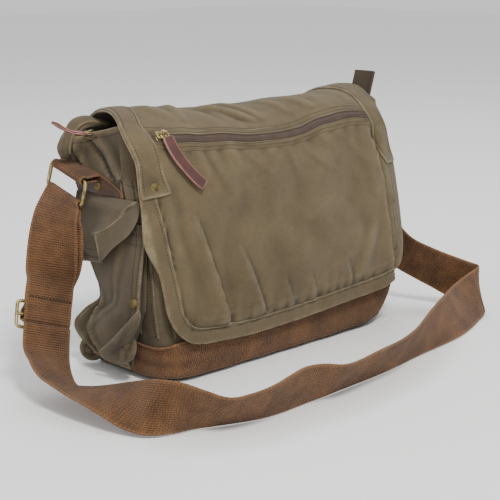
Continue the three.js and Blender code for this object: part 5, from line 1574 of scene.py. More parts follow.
# inner lining, open at the top
inner = shell[2:ZL - 1:3, ::3].copy()
innN = grid_normals(inner, True)
inner = inner - innN * 2.6 * np.sign(np.sum(innN[10, 5] * (inner[10, 5] - inner[10].mean(0))))
sheet("lining_bag", inner, 0.8, LIN, "bag", wrap=True)
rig.replaces(PIECES["lining_bag"], "lining")
outward = 1.0 if np.sum(shell_n[20, 20] * (shell[20, 20] - shell[20].mean(0))) > 0 else -1.0


def shell_at(col_f, z, off=0.0):
    """Point and normal on the shell at a fractional column and a height."""
    i = int(math.floor(col_f)) % NC
    f = col_f - math.floor(col_f)
    j = (i + 1) % NC
    res = []
    for c_ in (i, j):
        zc_ = shell[:, c_, 2]
        k = np.clip(np.interp(z, zc_, np.arange(ZL)), 0, ZL - 1)
        k0 = int(k)
        k1 = min(k0 + 1, ZL - 1)
        g = k - k0
        res.append((shell[k0, c_] * (1 - g) + shell[k1, c_] * g, shell_n[k0, c_] * (1 - g) + shell_n[k1, c_] * g))
    p_ = res[0][0] * (1 - f) + res[1][0] * f
    n_ = (res[0][1] * (1 - f) + res[1][1] * f) * outward
    n_ /= np.linalg.norm(n_)
    return p_ + n_ * off, n_


def left_at(y, z, off=0.0):
    """Point on the left side at y, z."""
    c_ = np.arange(a0 - 3, a1 + 6)
    ys = np.array([shell_at(float(k) % NC, z)[0][1] for k in c_])
    o = np.argsort(ys)
    k = float(np.interp(y, ys[o], c_[o]))
    return shell_at(k % NC, z, off)


def front_col(x_):
    f0_, f1_ = seg["front"]
    xs = shell[10, f0_:f1_, 0]
    return float(np.interp(x_, xs, np.arange(f0_, f1_)))


# base panel: a stitched pad with a turned-up edge
base_out = rounded(corners(0) * np.array([[1, 1]]), (44, 52, 18, 18), PE, PA)
cen = np.array([0.0, -12.0])
rows = []
for sc, z_ in ((0.02, 0.9), (0.5, 0.9), (0.93, 0.9), (0.985, 1.1), (1.0, 2.4), (1.008, 4.2), (1.0, 6.5), (0.985, 7.4)):
    rows.append(np.concatenate([cen + (base_out - cen) * sc, np.full((NC, 1), z_)], 1))
B_ = np.array(rows)
sheet("base_pad", B_, 1.6, CAN_D, "bag", wrap=True, rim=0.1)
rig.replaces(PIECES["base_pad"], "base_panel")
p = np.concatenate([cen + (base_out - cen) * 1.010, np.full((NC, 1), 5.2)], 1)
tube("base_piping", p, 1.6, CAN_D, "bag", sides=8, closed=True, wear=0.25)

# webbing band round the foot: from the left side, round the front, to the right side
cols_ = np.concatenate([np.linspace(seg["left"][1] - 12, NC - 0.01, 14), np.linspace(0, seg["arc_fr"][1] + 8, 110)])
zrow = np.linspace(0, 1, 12)
Bd, Wb = [], []
for v in zrow:
    r_ = []
    for k, cf in enumerate(cols_):
        p0_, n0_ = shell_at(cf % NC, 20)
        xx_ = p0_[0]
        zlo = 5.5 + (4.0 * smooth01((xx_ - 60) / 110)) + 1.5 * smooth01((-xx_ - 130) / 50)
        zhi = 45.0 + 1.2 * math.sin(xx_ / 23) - 5 * smooth01((-xx_ - 150) / 30)
        z_ = zlo + (zhi - zlo) * v
        wr_ = 0.5 * math.sin(z_ / 2.4 + xx_ / 40) * smooth01((-xx_ - 120) / 30) + 0.4 * math.sin(xx_ / 9 + 2 * v)
        p_, n_ = shell_at(cf % NC, z_, 2.6 + wr_)
        r_.append(p_)
    Bd.append(r_)
Bd = np.array(Bd)
# turn so that the webbing's width runs up the band
sheet("base_webbing", np.transpose(Bd, (1, 0, 2)), 2.0, WEB, "bag", wear=(0.45 * np.exp(-np.minimum(zrow, 1 - zrow) * 40 / 1.5))[None, :] * np.ones((len(cols_), 1)), flip=True)
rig.replaces(PIECES["base_webbing"], "base_webbing_band")
for v_, nm_ in ((0.06, "low"), (0.94, "high")):
    j_ = v_ * 11
    a_ = Bd[int(j_)] * (1 - (j_ - int(j_))) + Bd[min(11, int(j_) + 1)] * (j_ - int(j_))
    nn_ = np.array([shell_at(cf % NC, 20)[1] for cf in cols_])
    stitches(a_ + nn_ * 1.0, nn_, "bag", THR_D, 3.0, 2.1, 0.38)

# hem and stitches of the side's top edge, both sides
for nm_, (s0, s1) in (("left", (seg["left"][0] - 6, seg["left"][1] + 4)), ("right", (seg["right"][0] - 4, seg["right"][1] + 6))):
    cc = np.linspace(s0, s1, 50)
    top_pts, row1 = [], []
    nr = []
    for cf in cc:
        c_ = int(cf) % NC
        zt = float(np.interp(cf % NC, np.arange(NC), shell[-1, :, 2]))
        p_, n_ = shell_at(cf % NC, zt - 0.2, 0.0)
        top_pts.append(p_)
        p2_, n2_ = shell_at(cf % NC, zt - 5.5, 1.05)
        row1.append(p2_)
        nr.append(n2_)
    tube(nm_ + "_side_hem", top_pts, 1.5, CAN, "bag", sides=8, wear=0.55)
    stitches(row1, nr, "bag", THR_D, 3.3, 2.2, 0.42)
# the back panel's top corner, rolled inwards
rp = crv([(-196, 50, 214), (-198, 49, 226), (-195, 47, 239), (-188, 44, 249), (-179, 40, 252), (-170, 36, 251), (-160, 33, 248)], 40)
V, F, UV = tube_mesh(rp, np.interp(np.linspace(0, 1, 40), [0, 0.2, 0.5, 0.8, 1], [5, 7, 7.6, 7.4, 6]), 20)
cw = np.repeat(rp, 20, 0)
dv_ = V[:800] - cw
a_ = np.arctan2(dv_[:, 2], dv_[:, 1])
V[:800] = cw + dv_ * (1 + 0.16 * np.sin(a_ * 3 + np.repeat(np.arange(40), 20) / 6.0))[:, None] * np.array([1.0, 1.5, 1.0])
make("back_corner_roll", V, F, CAN_SHADED, "bag", uv=UV, wear=np.full(len(V), 0.15))
rp2 = rp[4:38] + np.array([-3.0, -10.5, 3.0])
tube("back_corner_hem", rp2, 1.4, CAN, "bag", wear=0.6)
# top-stitched gusset seam on the left side, a double row
for d_ in (-2.6, -5.4):
    pts_, ns_ = [], []
    for z_ in np.linspace(195, 243, 24):
        y_ = float(np.interp(z_, [186, 192, 198, 205, 216, 229, 245, 258], [-70, -56, -43, -15, -3, 9, 25, 30])) + d_
        p_, n_ = left_at(y_, z_, 1.05)
        pts_.append(p_)
        ns_.append(n_)
    stitches(pts_, ns_, "bag", THR_D, 3.4, 2.3, 0.4)
# welts of the gusset: two upright seams on the front left corner
for cf, dz_ in ((NC - 2.5, 0), (3.0, 0), (6.5, 0)):
    pts_, ns_ = [], []
    for z_ in np.linspace(50, 205, 60):
        p_, n_ = shell_at(cf % NC, z_, 1.0)
        pts_.append(p_)
        ns_.append(n_)
    tube(f"gusset_welt_{int(cf * 10) % 1000}", np.array(pts_), 1.3, CAN_SHADED, "bag", sides=8, wear=0.5)
    pts2 = np.array(pts_) + np.cross(np.array(ns_), [0, 0, 1]) * 3.4
    stitches(pts2, ns_, "bag", THR_D, 3.3, 2.3, 0.42)
for cf in (seg["arc_fr"][0] + 2.5, seg["arc_fr"][1] - 1.0):
    pts_, ns_ = [], []
    for z_ in np.linspace(50, 205, 60):
        p_, n_ = shell_at(cf % NC, z_, 1.0)
        pts_.append(p_)
        ns_.append(n_)
    tube(f"gusset_welt_r{int(cf * 10) % 1000}", np.array(pts_), 1.3, CAN_SHADED, "bag", sides=8, wear=0.5)
# back seams
for cf in (seg["back"][0] + 1.5, seg["back"][1] - 1.5):
    pts_, ns_ = [], []
    for z_ in np.linspace(8, 240, 80):
        p_, n_ = shell_at(cf % NC, z_, 0.9)
        pts_.append(p_)
        ns_.append(n_)
    tube(f"back_welt_{int(cf)}", np.array(pts_), 1.4, CAN_SHADED, "bag", sides=8, wear=0.45)
for z_, mm_ in ((236.0, THR_D), (231.0, THR_D), (12.0, THR_D)):
    cc = np.linspace(seg["back"][0] + 2, seg["back"][1] - 2, 90)
    pn = [shell_at(cf, z_, 1.0) for cf in cc]
    stitches([a for a, b in pn], [b for a, b in pn], "bag", mm_, 3.3, 2.2, 0.42)

# ------------------------------------------------------------------ mouth: facings, tapes, main zip
def lens(x_):
    return np.where(np.abs(x_) < 176, np.cos(np.pi * x_ / 352), 0)


xs_ = np.linspace(-172, 172, 60)
def mouth_z(x_, y_):
    return 244 - 2.0 * lens(x_) + 0 * y_


for nm_, sg, ye in (("front", -1, -40.0), ("back", 1, 47.5)):
    ed = 14 + sg * (0.6 + np.where(sg < 0, 23, 18) * lens(xs_))
    P = np.array([[(x_, y_, 242.6 + 0.8 * math.sin(x_ / 21 + y_ / 9)) for x_, y_ in zip(xs_, ye + (ed + sg * 7.5 - ye) * v)] for v in np.linspace(0, 1, 9)])
    sheet(nm_ + "_facing_cloth", P, 1.4, CAN_SHADED, "bag", flip=(sg > 0))
    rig.replaces(PIECES[nm_ + "_facing_cloth"], nm_ + "_mouth_facing")
    xt = np.linspace(-198, 181, 80)
    e2 = 14 + sg * (0.6 + (23 if sg < 0 else 18) * lens(xt))
    P = np.array([[(x_, y_, 244.1) for x_, y_ in zip(xt, e2 + sg * 9 * v)] for v in np.linspace(0, 1, 4)])
    sheet("zip_tape_" + nm_, P, 1.0, TAPE, "bag", flip=(sg > 0))
    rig.replaces(PIECES["zip_tape_" + nm_], "main_zip_tape_" + nm_)
    tt = np.stack([np.interp(np.arange(-196, 180, 1.6), xt, xt), np.interp(np.arange(-196, 180, 1.6), xt, e2)], 1)
    parts = [tube_mesh([(x_, y_ + sg * 1.6, 244.6), (x_, y_ + sg * 0.4, 245.2), (x_, y_ - sg * 0.3, 244.6), (x_, y_ + sg * 0.4, 243.9)], 0.5, 5) for x_, y_ in tt]
    V, F, UV = join(parts)
    make("zip_coil_" + nm_, V, F, COIL, "bag", uv=UV, smooth=0)
    q_ = np.stack([xs_, ed + sg * 9.0, np.full(len(xs_), 243.6)], 1)
    stitches(q_, np.repeat([[0, 0, 1.0]], len(xs_), 0), "bag", THR_D, 3.3, 2.2, 0.4)

SX = -192.0
lz = lambda a, b, n: np.array([SX + a, 14 + b, 244 + n])
parts = [soft_box(lz, -5, 5, -4.6, 4.6, 1.0, 2.6, 0.5), soft_box(lz, -5, 5, -4.6, 4.6, -2.4, -1.0, 0.5)]
parts.append(tube_mesh([lz(-4, 0, 2.2), lz(-3.4, 0, 4.6), lz(0, 0, 5.2), lz(2.6, 0, 4.6), lz(3.2, 0, 2.2)], 0.8, 10))
parts.append(tube_mesh([lz(-5.2 + 4.6 * math.cos(a), 3.0 * math.sin(a), 3.7 + 0.4 * math.cos(a)) for a in np.linspace(0, 2 * math.pi, 20, endpoint=False)], 0.7, 8, True))
V, F, UV = join(parts)
make("main_zip_slider_body", V, F, BRA, "main_zip_slider", uv=UV)
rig.replaces(PIECES["main_zip_slider_body"], "main_zip_slider")
ln = crv([(-202.2, 14, 247.8), (-208, 14, 248.6), (-216, 14, 250.2), (-226, 14, 254.2), (-236, 14, 260.5)], 40)
pl = pull("main_zip_pull_leaf", ln, np.array([0.05, 1.0, 0.05]), 9.5, LEA, PINK, "main_zip_pull", t=1.2, gap=0.35)
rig.replaces(pl[0], "main_zip_pull")

# folded canvas tab at the zip's right end
cc_ = crv([(183, 244), (196, 245.5), (204, 252), (209, 265), (214, 281)], 26)
P = np.array([[(c_[0], y_, c_[1]) for y_ in np.linspace(-0.5, 28.5, 11)] for c_ in cc_])
P[..., 0] += 0.6 * np.sin(P[..., 1] / 6.0)
sheet("zip_end_tab_cloth", P, 3.0, CAN_D, "bag", wear=0.5 * np.exp(-np.minimum(P[..., 1] + 0.5, 28.5 - P[..., 1]) / 1.4), rim=0.35)
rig.replaces(PIECES["zip_end_tab_cloth"], "main_zip_end_tab")
for y_ in (2.6, 25.4):
    for sd in (1, -1):
        Tn = np.gradient(cc_, axis=0)
        Tn /= np.linalg.norm(Tn, axis=1, keepdims=True)
        nn_ = np.stack([Tn[:, 1] * sd, np.zeros(26), -Tn[:, 0] * sd], 1)
        stitches(np.stack([cc_[:, 0], np.full(26, y_), cc_[:, 1]], 1) + nn_ * 1.6, nn_, "bag", THR_D, 3.2, 2.2, 0.4)

# ------------------------------------------------------------------ grab handle
nh = 60
hx = np.linspace(-78, 78, nh)
kk = np.where(np.abs(hx) > 58, 0, np.cos(np.pi * np.clip(np.abs(hx), 0, 58) / 116) ** 0.8)
Ch = np.stack([hx, 56.2 + 15 * kk, 233 - 3.0 * kk], 1)
lean = 0.12 * kk
Wh = np.stack([np.zeros(nh), lean, np.ones(nh)], 1)
Wh /= np.linalg.norm(Wh, axis=1, keepdims=True)
Th = np.gradient(Ch, axis=0)
Th /= np.linalg.norm(Th, axis=1, keepdims=True)
Nh = np.cross(Wh, Th)
Nh /= np.linalg.norm(Nh, axis=1, keepdims=True)
V, F, UV, WR = strap_mesh(Ch, Wh, Nh, t=2.6, width=24.0)
# painted shade: the handle's very dark webbing partly stands for the shade on the back of the bag
make("grab_handle_web", V, F, WEBD, "bag", uv=UV, wear=WR)
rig.replaces(PIECES["grab_handle_web"], "grab_handle")
for x_ in (-74, -62, 62, 74):
    q_ = np.array([(x_, 58.2, z_) for z_ in np.linspace(225, 243, 10)])
    stitches(q_, np.repeat([[0, 1.0, 0]], 10, 0), "bag", THR_B, 3.0, 2.2, 0.45)
for x0_, x1_ in ((-74, -62), (62, 74)):
    for z_ in (225, 243):
        q_ = np.array([(x_, 58.2, z_) for x_ in np.linspace(x0_, x1_, 6)])
        stitches(q_, np.repeat([[0, 1.0, 0]], 6, 0), "bag", THR_B, 3.0, 2.2, 0.45)

# ------------------------------------------------------------------ strap anchors
def anchor(side, sgn):
    top, down, bar = ring_bar(sgn)
    A = np.array([1.0, 0, 0])
    Bv = np.cross(A, E)
    Bv /= np.linalg.norm(Bv)
    if Bv[2] < 0:
        Bv = -Bv
    inw = -sgn
    mid_r = 3.75
    # centre line of the webbing: from the side, over the bar and back
    prof = []
    reach = 211 - 186.5
    prof += [(inw * (reach - r_), 2.6 + 0.6 * math.sin(r_ / 6)) for r_ in np.linspace(0, reach - 3, 10)]
    prof += [(inw * mid_r * math.cos(a), mid_r * math.sin(a)) for a in np.linspace(math.radians(62), math.radians(298), 20)]
    prof += [(inw * (3 + r_), -2.6) for r_ in np.linspace(0, reach - 3, 10)]
    prof = resample(prof, 1.6)
    C_ = np.array([top + A * a + Bv * b for a, b in prof])
    Tn = np.gradient(C_, axis=0)
    Tn /= np.linalg.norm(Tn, axis=1, keepdims=True)
    W_ = np.repeat(E[None], len(C_), 0)
    N_ = np.cross(Tn, W_)
    V, F, UV, WR = strap_mesh(C_, W_, N_, t=2.0, width=50.0)
    make(side + "_anchor_web", V, F, WEB, "bag", uv=UV, wear=WR)
    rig.replaces(PIECES[side + "_anchor_web"], side + "_anchor_loop")
    # stitched leather patch: tapered, with a rounded tip
    poly = np.array([(44, 214), (30, 210), (14, 206), (2, 202), (-10, 197), (-19, 192.5), (-25, 188.3), (-25.5, 185.6), (-22, 184), (-12, 184.6), (4, 184.6), (20, 184.4), (36, 186), (46, 190), (48, 202)], float)
    poly = crv(np.vstack([poly, poly[:1]]), 90)[:-1]
    cpt = np.array([14.0, 195.0])
    rows_ = []
    for sc, up_ in ((0.02, 1.5), (0.45, 1.5), (0.82, 1.35), (0.93, 1.0), (1.0, 0.0)):
        r_ = []
        for y_, z_ in cpt + (poly - cpt) * sc:
            if sgn < 0:
                p_, n_ = left_at(y_ - 6.0, z_ + 1.5, 1.0 + up_ + 0.9)
            else:
                p_ = np.array([190.0 + up_ + 0.9, y_, z_])
            r_.append(p_)
        rows_.append(r_)
    Pp = np.array(rows_)
    n_test = grid_normals(Pp, True)
    fl = np.mean(n_test[..., 0]) * sgn < 0
    w_ = np.zeros(Pp.shape[:2])
    w_[-1] = 0.4
    # painted shade: a dark ring just inside the patch's bevelled edge, by the stitch line
    patch_edge_shade = np.zeros(Pp.shape[:2])
    patch_edge_shade[3] = 0.5
    sheet(side + "_anchor_leather", Pp, 2.0, LEAD, "bag", wear=w_, dirt=patch_edge_shade, wrap=True, flip=fl, rim=0.1)
    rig.replaces(PIECES[side + "_anchor_leather"], side + "_anchor_patch")
    st = []
    sn = []
    for y_, z_ in cpt + (poly - cpt) * 0.90:
        if sgn < 0:
            p_, n_ = left_at(y_ - 6.0, z_ + 1.5, 4.05)
        else:
            p_, n_ = np.array([194.0, y_, z_]), np.array([1.0, 0, 0])
        st.append(p_)
        sn.append(n_)
    stitches(st, sn, "bag", THR_B, 3.0, 2.2, 0.42)
    if sgn < 0:
        p_, n_ = left_at(4.0, 194.5, 4.2)
    else:
        p_, n_ = np.array([194.2, 13.0, 192.8]), np.array([1.0, 0, 0])
    dome(side + "_anchor_rivet_cap", p_, n_, 4.4, 1.6, BRAD, "bag")
    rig.replaces(PIECES[side + "_anchor_rivet_cap"], side + "_anchor_rivet")


anchor("left", -1)
anchor("right", 1)

# ------------------------------------------------------------------ side pockets
def pocket(side, sgn):
    """A bellows pocket: one soft bag of cloth open at the top, with a fuller foot."""
    zs = np.linspace(14, 163, 46)
    if sgn < 0:
        ybk = sm_interp(zs, [10, 14, 26, 38, 47, 65, 71, 78, 88, 100, 120, 165], [18, 22, 40, 52, 50, 31, 20, 10, 9, 18, 28, 38])
        xfr = sm_interp(zs, [10, 30, 60, 100, 125, 150, 165], [194, 197, 197, 196, 193, 189, 187])
        xbk = sm_interp(zs, [10, 30, 50, 75, 100, 130, 165], [184, 190, 192, 188, 187, 189, 189])
        yfr_ = sm_interp(zs, [10, 40, 60, 80, 100, 145, 165], [-36, -43, -51, -60, -61, -63, -60])
    else:
        ybk = sm_interp(zs, [10, 30, 60, 120, 165], [36, 42, 44, 42, 40])
        xfr = sm_interp(zs, [10, 30, 60, 100, 150, 165], [192, 197, 199, 199, 197, 195])
        xbk = sm_interp(zs, [10, 30, 60, 100, 150, 165], [190, 194, 196, 196, 196, 195])
        yfr_ = sm_interp(zs, [10, 40, 100, 165], [-42, -46, -48, -48])
    nf = 34
    rows_, wear_, dirt_ = [], [], []
    for j, z_ in enumerate(zs):
        # from the side panel at the front, out round the front edge, along the face, and back in
        inner_f = np.array([sgn * 186.0, yfr_[j] + 2.0])
        fc = np.array([sgn * xfr[j], yfr_[j]])
        bc = np.array([sgn * xbk[j], ybk[j]])
        inner_b = np.array([sgn * (184.0 if sgn > 0 else min(186.0, -float(left_at(ybk[j], z_)[0][0]) - 1)), ybk[j] - 2.0])
        face = np.array([fc * (1 - t) + bc * t for t in np.linspace(0, 1, nf - 8)])
        tt = np.linspace(0, 1, nf - 8)
        puff = 4.0 * np.sin(np.pi * tt) ** 0.8 * (0.6 + 0.4 * math.cos((z_ - 60) / 60)) * (1 - 0.8 * float(smooth01((z_ - 95) / 50)))
        puff += 1.2 * np.sin(tt * 9 + z_ / 15.0) * np.sin(np.pi * tt)
        if sgn < 0:
            # crease that runs down the face to the foot
            cr = np.interp(z_, [14, 40, 75, 100], [0.42, 0.60, 0.86, 1.1])
            puff += (3.6 * np.exp(-((tt - cr) / 0.05) ** 2) - 7.0 * smooth01((tt - cr) / 0.10) * (1 - smooth01((tt - 0.86) / 0.14))) * smooth01((96 - z_) / 22)
            puff += 1.6 * np.exp(-((tt - 0.45 + (z_ - 110) / 260) / 0.06) ** 2)
        face[:, 0] += sgn * puff
        f_in = np.array([inner_f * (1 - t) + fc * t for t in (0, 0.35, 0.7, 0.92)])
        b_in = np.array([bc * (1 - t) + inner_b * t for t in (0.08, 0.3, 0.65, 1.0)])
        # narrow waist in the front bellows
        f_in[1:3, 1] += 3.0
        b_in[1:3, 1] -= 3.0
        ring_ = np.vstack([f_in, face, b_in])
        rows_.append([(a, b, z_) for a, b in ring_])
    P = np.array(rows_)
    # round the foot in
    for j, z_ in enumerate(zs):
        k = smooth01((26 - z_) / 14) * 0.55
        P[j, :, 0] = P[j, :, 0] * (1 - k) + sgn * 186 * k
    w_ = np.zeros(P.shape[:2])
    w_[-1] = 0.7
    w_[:, 4] = 0.4
    w_[:, -5] = 0.3
    # painted shade in the recess of the front bellows, by its narrow waist
    d_ = np.zeros(P.shape[:2])
    d_[:, 1:3] = 0.4
    n_test = grid_normals(P)
    fl = np.mean(n_test[20, 6:24, 0]) * sgn < 0
    sheet(side + "_pocket_cloth", P, 1.7, CAN_SHADED, "bag", wear=w_, dirt=d_, flip=fl)
    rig.replaces(PIECES[side + "_pocket_cloth"], side + "_pocket_body")
    # floor of the pocket
    bot = P[0]
    Pb = np.array([[bot[i] * (1 - t) + np.array([sgn * 185.0, bot[i][1] * 0.9, 14.0]) * t for i in range(P.shape[1])] for t in np.linspace(0, 1, 4)])
    sheet(side + "_pocket_foot", Pb, 1.4, CAN_SHADED, "bag")
    # stitched front edge: welt and two rows
    edge = P[3:, 4] + np.array([sgn * 0.9, -0.3, 0])
    tube(side + "_pocket_front_welt", edge, 1.15, CAN_SHADED, "bag", sides=8, wear=0.65)
    for i_ in (5, 7):
        q_ = P[6:, i_] + np.array([sgn * 0.95, 0, 0])
        stitches(q_, np.repeat([[sgn * 1.0, -0.2, 0]], len(q_), 0), "bag", THR_D, 3.3, 2.3, 0.42)
    hem_n = np.repeat([[sgn * 1.0, 0, 0]], nf - 8, 0)
    for dj in (3, 6):
        stitches(P[-1 - dj, 4:nf - 4] + np.array([sgn * 0.95, 0, 0]), hem_n, "bag", THR_D, 3.3, 2.3, 0.4)
    tube(side + "_pocket_foot_welt", P[1, 4:-4] + np.array([sgn * 0.5, 0, -0.6]), 1.2, CAN_SHADED, "bag", sides=8, wear=0.8)
    back_e = P[3:-2, -5] + np.array([sgn * 0.6, 0.8, 0])
    tube(side + "_pocket_back_welt", back_e, 1.05, CAN_SHADED, "bag", sides=8, wear=0.45)
    return P


PL_ = pocket("left", -1)
PR_ = pocket("right", 1)

# rivets on the pocket fronts
j_ = int(np.argmin(np.abs(PL_[:, 6, 2] - 86)))
dome("left_pocket_rivet_cap", PL_[j_, 6] + np.array([-1.2, 0, 0]), (-1, -0.35, 0.05), 4.8, 1.3, BRAD, "bag")
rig.replaces(PIECES["left_pocket_rivet_cap"], "left_pocket_rivet")
j_ = int(np.argmin(np.abs(PR_[:, 6, 2] - 86)))
dome("right_pocket_rivet_cap", PR_[j_, 6] + np.array([1.2, 0, 0]), (1, -0.35, 0.05), 4.8, 1.3, BRAD, "bag")
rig.replaces(PIECES["right_pocket_rivet_cap"], "right_pocket_rivet")

# puffed foot corner on the left pocket: a folded bellows end
def puff_piece(name, outline, centre, depth, dirn, mat, body, rings=9, seam=None):
    """A stuffed, closed form on an outline (n, 3), swelling along dirn."""
    o = crv(np.vstack([outline, outline[:1]]), 64)[:-1]
    dirn = np.asarray(dirn, float)
    dirn /= np.linalg.norm(dirn)
    rows_ = []
    for k in range(rings):
        t = k / (rings - 1)
        sc = math.cos(t * math.pi / 2 * 0.985) ** 0.75
        up_ = math.sin(t * math.pi / 2) * depth
        rows_.append(centre + (o - centre) * sc + dirn * up_)
    P = np.array(rows_)
    if seam is not None:
        P += seam(P)
    wear_ = np.zeros(P.shape[:2])
    wear_[0:2] = 0.45
    n_ = grid_normals(P, True)
    fl = np.sum(n_[rings // 2] @ dirn) < 0
    return sheet(name, P, 1.6, mat, body, wear=wear_, wrap=True, flip=fl, rim=0.1)


out_ = np.array([(-198, -63, 82), (-202, -54, 71), (-205, -42, 58), (-206, -22, 40), (-205, -7, 28), (-202, -8, 22), (-199, -26, 20), (-197, -41, 24), (-196, -51, 32), (-195, -53, 43), (-195, -50, 51), (-195, -57, 64), (-196, -62, 75)], float)


def seam_line(P):
    a, b = np.array([-200, -63, 80.0]), np.array([-205, -36, 18.0])
    d = (b - a) / np.linalg.norm(b - a)
    r = P - a
    t = r @ d
    dist = np.linalg.norm(r - t[..., None] * d, axis=-1)
    return -np.array([-0.75, -0.62, 0.1]) * (-4.2 * np.exp(-(dist / 3.0) ** 2) + 1.2 * np.sin(P[..., 2] / 5.0 + P[..., 1] / 7.0) * np.exp(-(dist / 16.0) ** 2))[..., None]


puff_piece("left_pocket_foot_fold", out_, np.array([-200, -40, 42.0]), 6.0, (-0.72, -0.66, -0.05), CAN_SHADED, "bag", seam=seam_line)
# rolled corner of the base at the back left, with its seam
rd = np.array([-0.86, -0.50, 0.0])
ra = np.array([0.50, -0.86, 0.0])
cen_ = np.array([-177.0, 42.0, 16.0])
ang = np.linspace(0, 2 * math.pi, 14, endpoint=False)
out_ = np.array([cen_ + ra * 13.0 * math.cos(a) + np.array([0, 0, 1.0]) * 13.2 * math.sin(a) for a in ang])
puff_piece("left_base_corner_roll", out_, cen_, 10.0, rd, CAN_SHADED, "bag", seam=lambda P: rd * (1.3 * np.cos(np.linalg.norm(P - cen_ - rd * ((P - cen_) @ rd)[..., None], axis=-1) / 1.9))[..., None])
for rr_, nn_ in ((9.0, 8.2), (4.6, 10.2)):
    q_ = np.array([cen_ + ra * rr_ * math.cos(a) + np.array([0, 0, 1.0]) * rr_ * math.sin(a) + rd * nn_ for a in np.linspace(0, 2 * math.pi, 40)])
    stitches(q_, np.repeat(rd[None], 40, 0), "bag", THR_D, 3.0, 2.1, 0.45)

# ------------------------------------------------------------------ pocket flaps
def pocket_flap_left():
    ridge = crv([(-188, -52, 186), (-191, -41, 178), (-196, -29, 165), (-201, -14, 154), (-204, -4, 149.5)], 26)
    # face: rows run down from the hinge, columns run from the front edge to the back
    nrow, ncol = 26, 24
    hinge = np.stack([np.full(ncol, -187.5), np.linspace(-52, 42, ncol), np.full(ncol, 184.8)], 1)
    P = np.zeros((nrow, ncol, 3))
    for r in range(nrow):
        v = r / (nrow - 1)
        for c_ in range(ncol):
            u_ = c_ / (ncol - 1)
            # front edge follows the ridge to its corner, then drops to the hem
            if v < 0.55:
                fe = ridge[min(25, int(round(v / 0.55 * 25)))]
            else:
                w = (v - 0.55) / 0.45
                fe = np.array([-204, -4, 149.5]) * (1 - w) + np.array([-200, -6, 120]) * w
            be = np.array([-190 - 8 * math.sin(v * math.pi * 0.5), 42 - 12 * v, 184.8 - 68.8 * v])
            p_ = fe * (1 - u_) + be * u_
            p_[0] -= 3.2 * math.exp(-((v - 0.10) / 0.09) ** 2) * (1 - u_ * 0.5) + 1.4 * math.sin(v * 9 + u_ * 4) * math.sin(math.pi * u_)
            p_[0] -= 2.5 * math.sin(math.pi * u_) * math.sin(math.pi * min(1, v * 1.1)) + 0.6 * math.sin(u_ * 8 + v * 5)
            P[r, c_] = p_
    n_ = grid_normals(P)
    fl = np.mean(n_[..., 0]) > 0
    w_ = np.zeros((nrow, ncol))
    w_[-1] = 0.7
    w_[:, 0] = 0.8
    sheet("left_pocket_flap_face", P, 1.8, CAN_SHADED, "left_pocket_flap", wear=w_, flip=fl)
    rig.replaces(PIECES["left_pocket_flap_face"], "left_pocket_flap")
    edge = np.vstack([ridge, [(-202, -5, 134.0), (-200, -6, 120.5)]])
    tube("left_pocket_flap_piping", crv(edge, 50) + np.array([-0.9, -0.8, 0.4]), 0.95, CAN, "left_pocket_flap", wear=0.9)
    # turned front return, which faces forwards
    low = crv([(-190, -57, 181), (-194, -57, 169), (-199, -50, 155), (-202, -29, 139), (-201.5, -7.5, 120.5)], 26)
    rid = crv(np.vstack([ridge[::5], [(-203, -4.6, 146.0)]]), 26)
    Q = np.array([rid * (1 - t) + low * t + np.array([0, -1.5, 0]) * math.sin(math.pi * t) for t in np.linspace(0, 1, 10)])
    n2 = grid_normals(Q)
    fl2 = np.mean(n2[..., 1]) > 0
    w2 = np.zeros(Q.shape[:2])
    w2[0] = 0.5
    w2[-1] = 0.35
    sheet("left_pocket_flap_return", Q, 1.6, CAN_SHADED, "left_pocket_flap", wear=w2, flip=fl2)
    # stitches: double hem, and the return's tack
    for rr in (-3, -6):
        stitches(P[rr] + np.array([-1.0, 0, 0]), np.repeat([[-1.0, 0, 0]], ncol, 0), "left_pocket_flap", THR_D, 3.3, 2.3, 0.42)
    stitches(Q[1:-1, 19] + np.array([-0.4, -0.9, 0]), np.repeat([[-0.4, -0.9, 0]], 8, 0), "left_pocket_flap", THR_D, 3.2, 2.2, 0.4)
    stitches(rid[2:-1] + np.array([-0.6, -1.6, -2.6]), np.repeat([[-0.4, -0.9, 0]], 23, 0), "left_pocket_flap", THR_L, 3.2, 2.4, 0.4)


def pocket_flap_right():
    nrow, ncol = 24, 22
    P = np.zeros((nrow, ncol, 3))
    for r in range(nrow):
        v = r / (nrow - 1)
        for c_ in range(ncol):
            u_ = c_ / (ncol - 1)
            x_ = 191 + 10 * math.sin(min(1, v * 1.6) * math.pi / 2)
            P[r, c_] = (x_ + 2.0 * math.sin(math.pi * u_) * v + 0.5 * math.sin(u_ * 9 + v * 4), -46 + 90 * u_, 187 - 72 * v - 3 * math.sin(math.pi * u_) * v)
    n_ = grid_normals(P)
    fl = np.mean(n_[..., 0]) < 0
    w_ = np.zeros((nrow, ncol))
    w_[-1] = 0.7
    w_[:, 0] = w_[:, -1] = 0.7
    sheet("right_pocket_flap_face", P, 1.8, CAN_SHADED, "right_pocket_flap", wear=w_, flip=fl)
    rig.replaces(PIECES["right_pocket_flap_face"], "right_pocket_flap")
    for rr in (-3, -6):
        stitches(P[rr] + np.array([1.0, 0, 0]), np.repeat([[1.0, 0, 0]], ncol, 0), "right_pocket_flap", THR_D, 3.3, 2.3, 0.42)
    for cc in (1, -2):
        stitches(P[2:, cc] + np.array([1.0, 0, 0]), np.repeat([[1.0, 0, 0]], nrow - 2, 0), "right_pocket_flap", THR_D, 3.3, 2.3, 0.42)


pocket_flap_left()
pocket_flap_right()
finish_stitches()


def cloth(name, held, rests_on=(), with_pieces=()):
    w, l, a = CUT[name]
    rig.sheet(PIECES[name], flat=(w, l), held=held, rests_on=list(rests_on), area=min(a, w * l), with_pieces=[PIECES[n] for n in with_pieces])


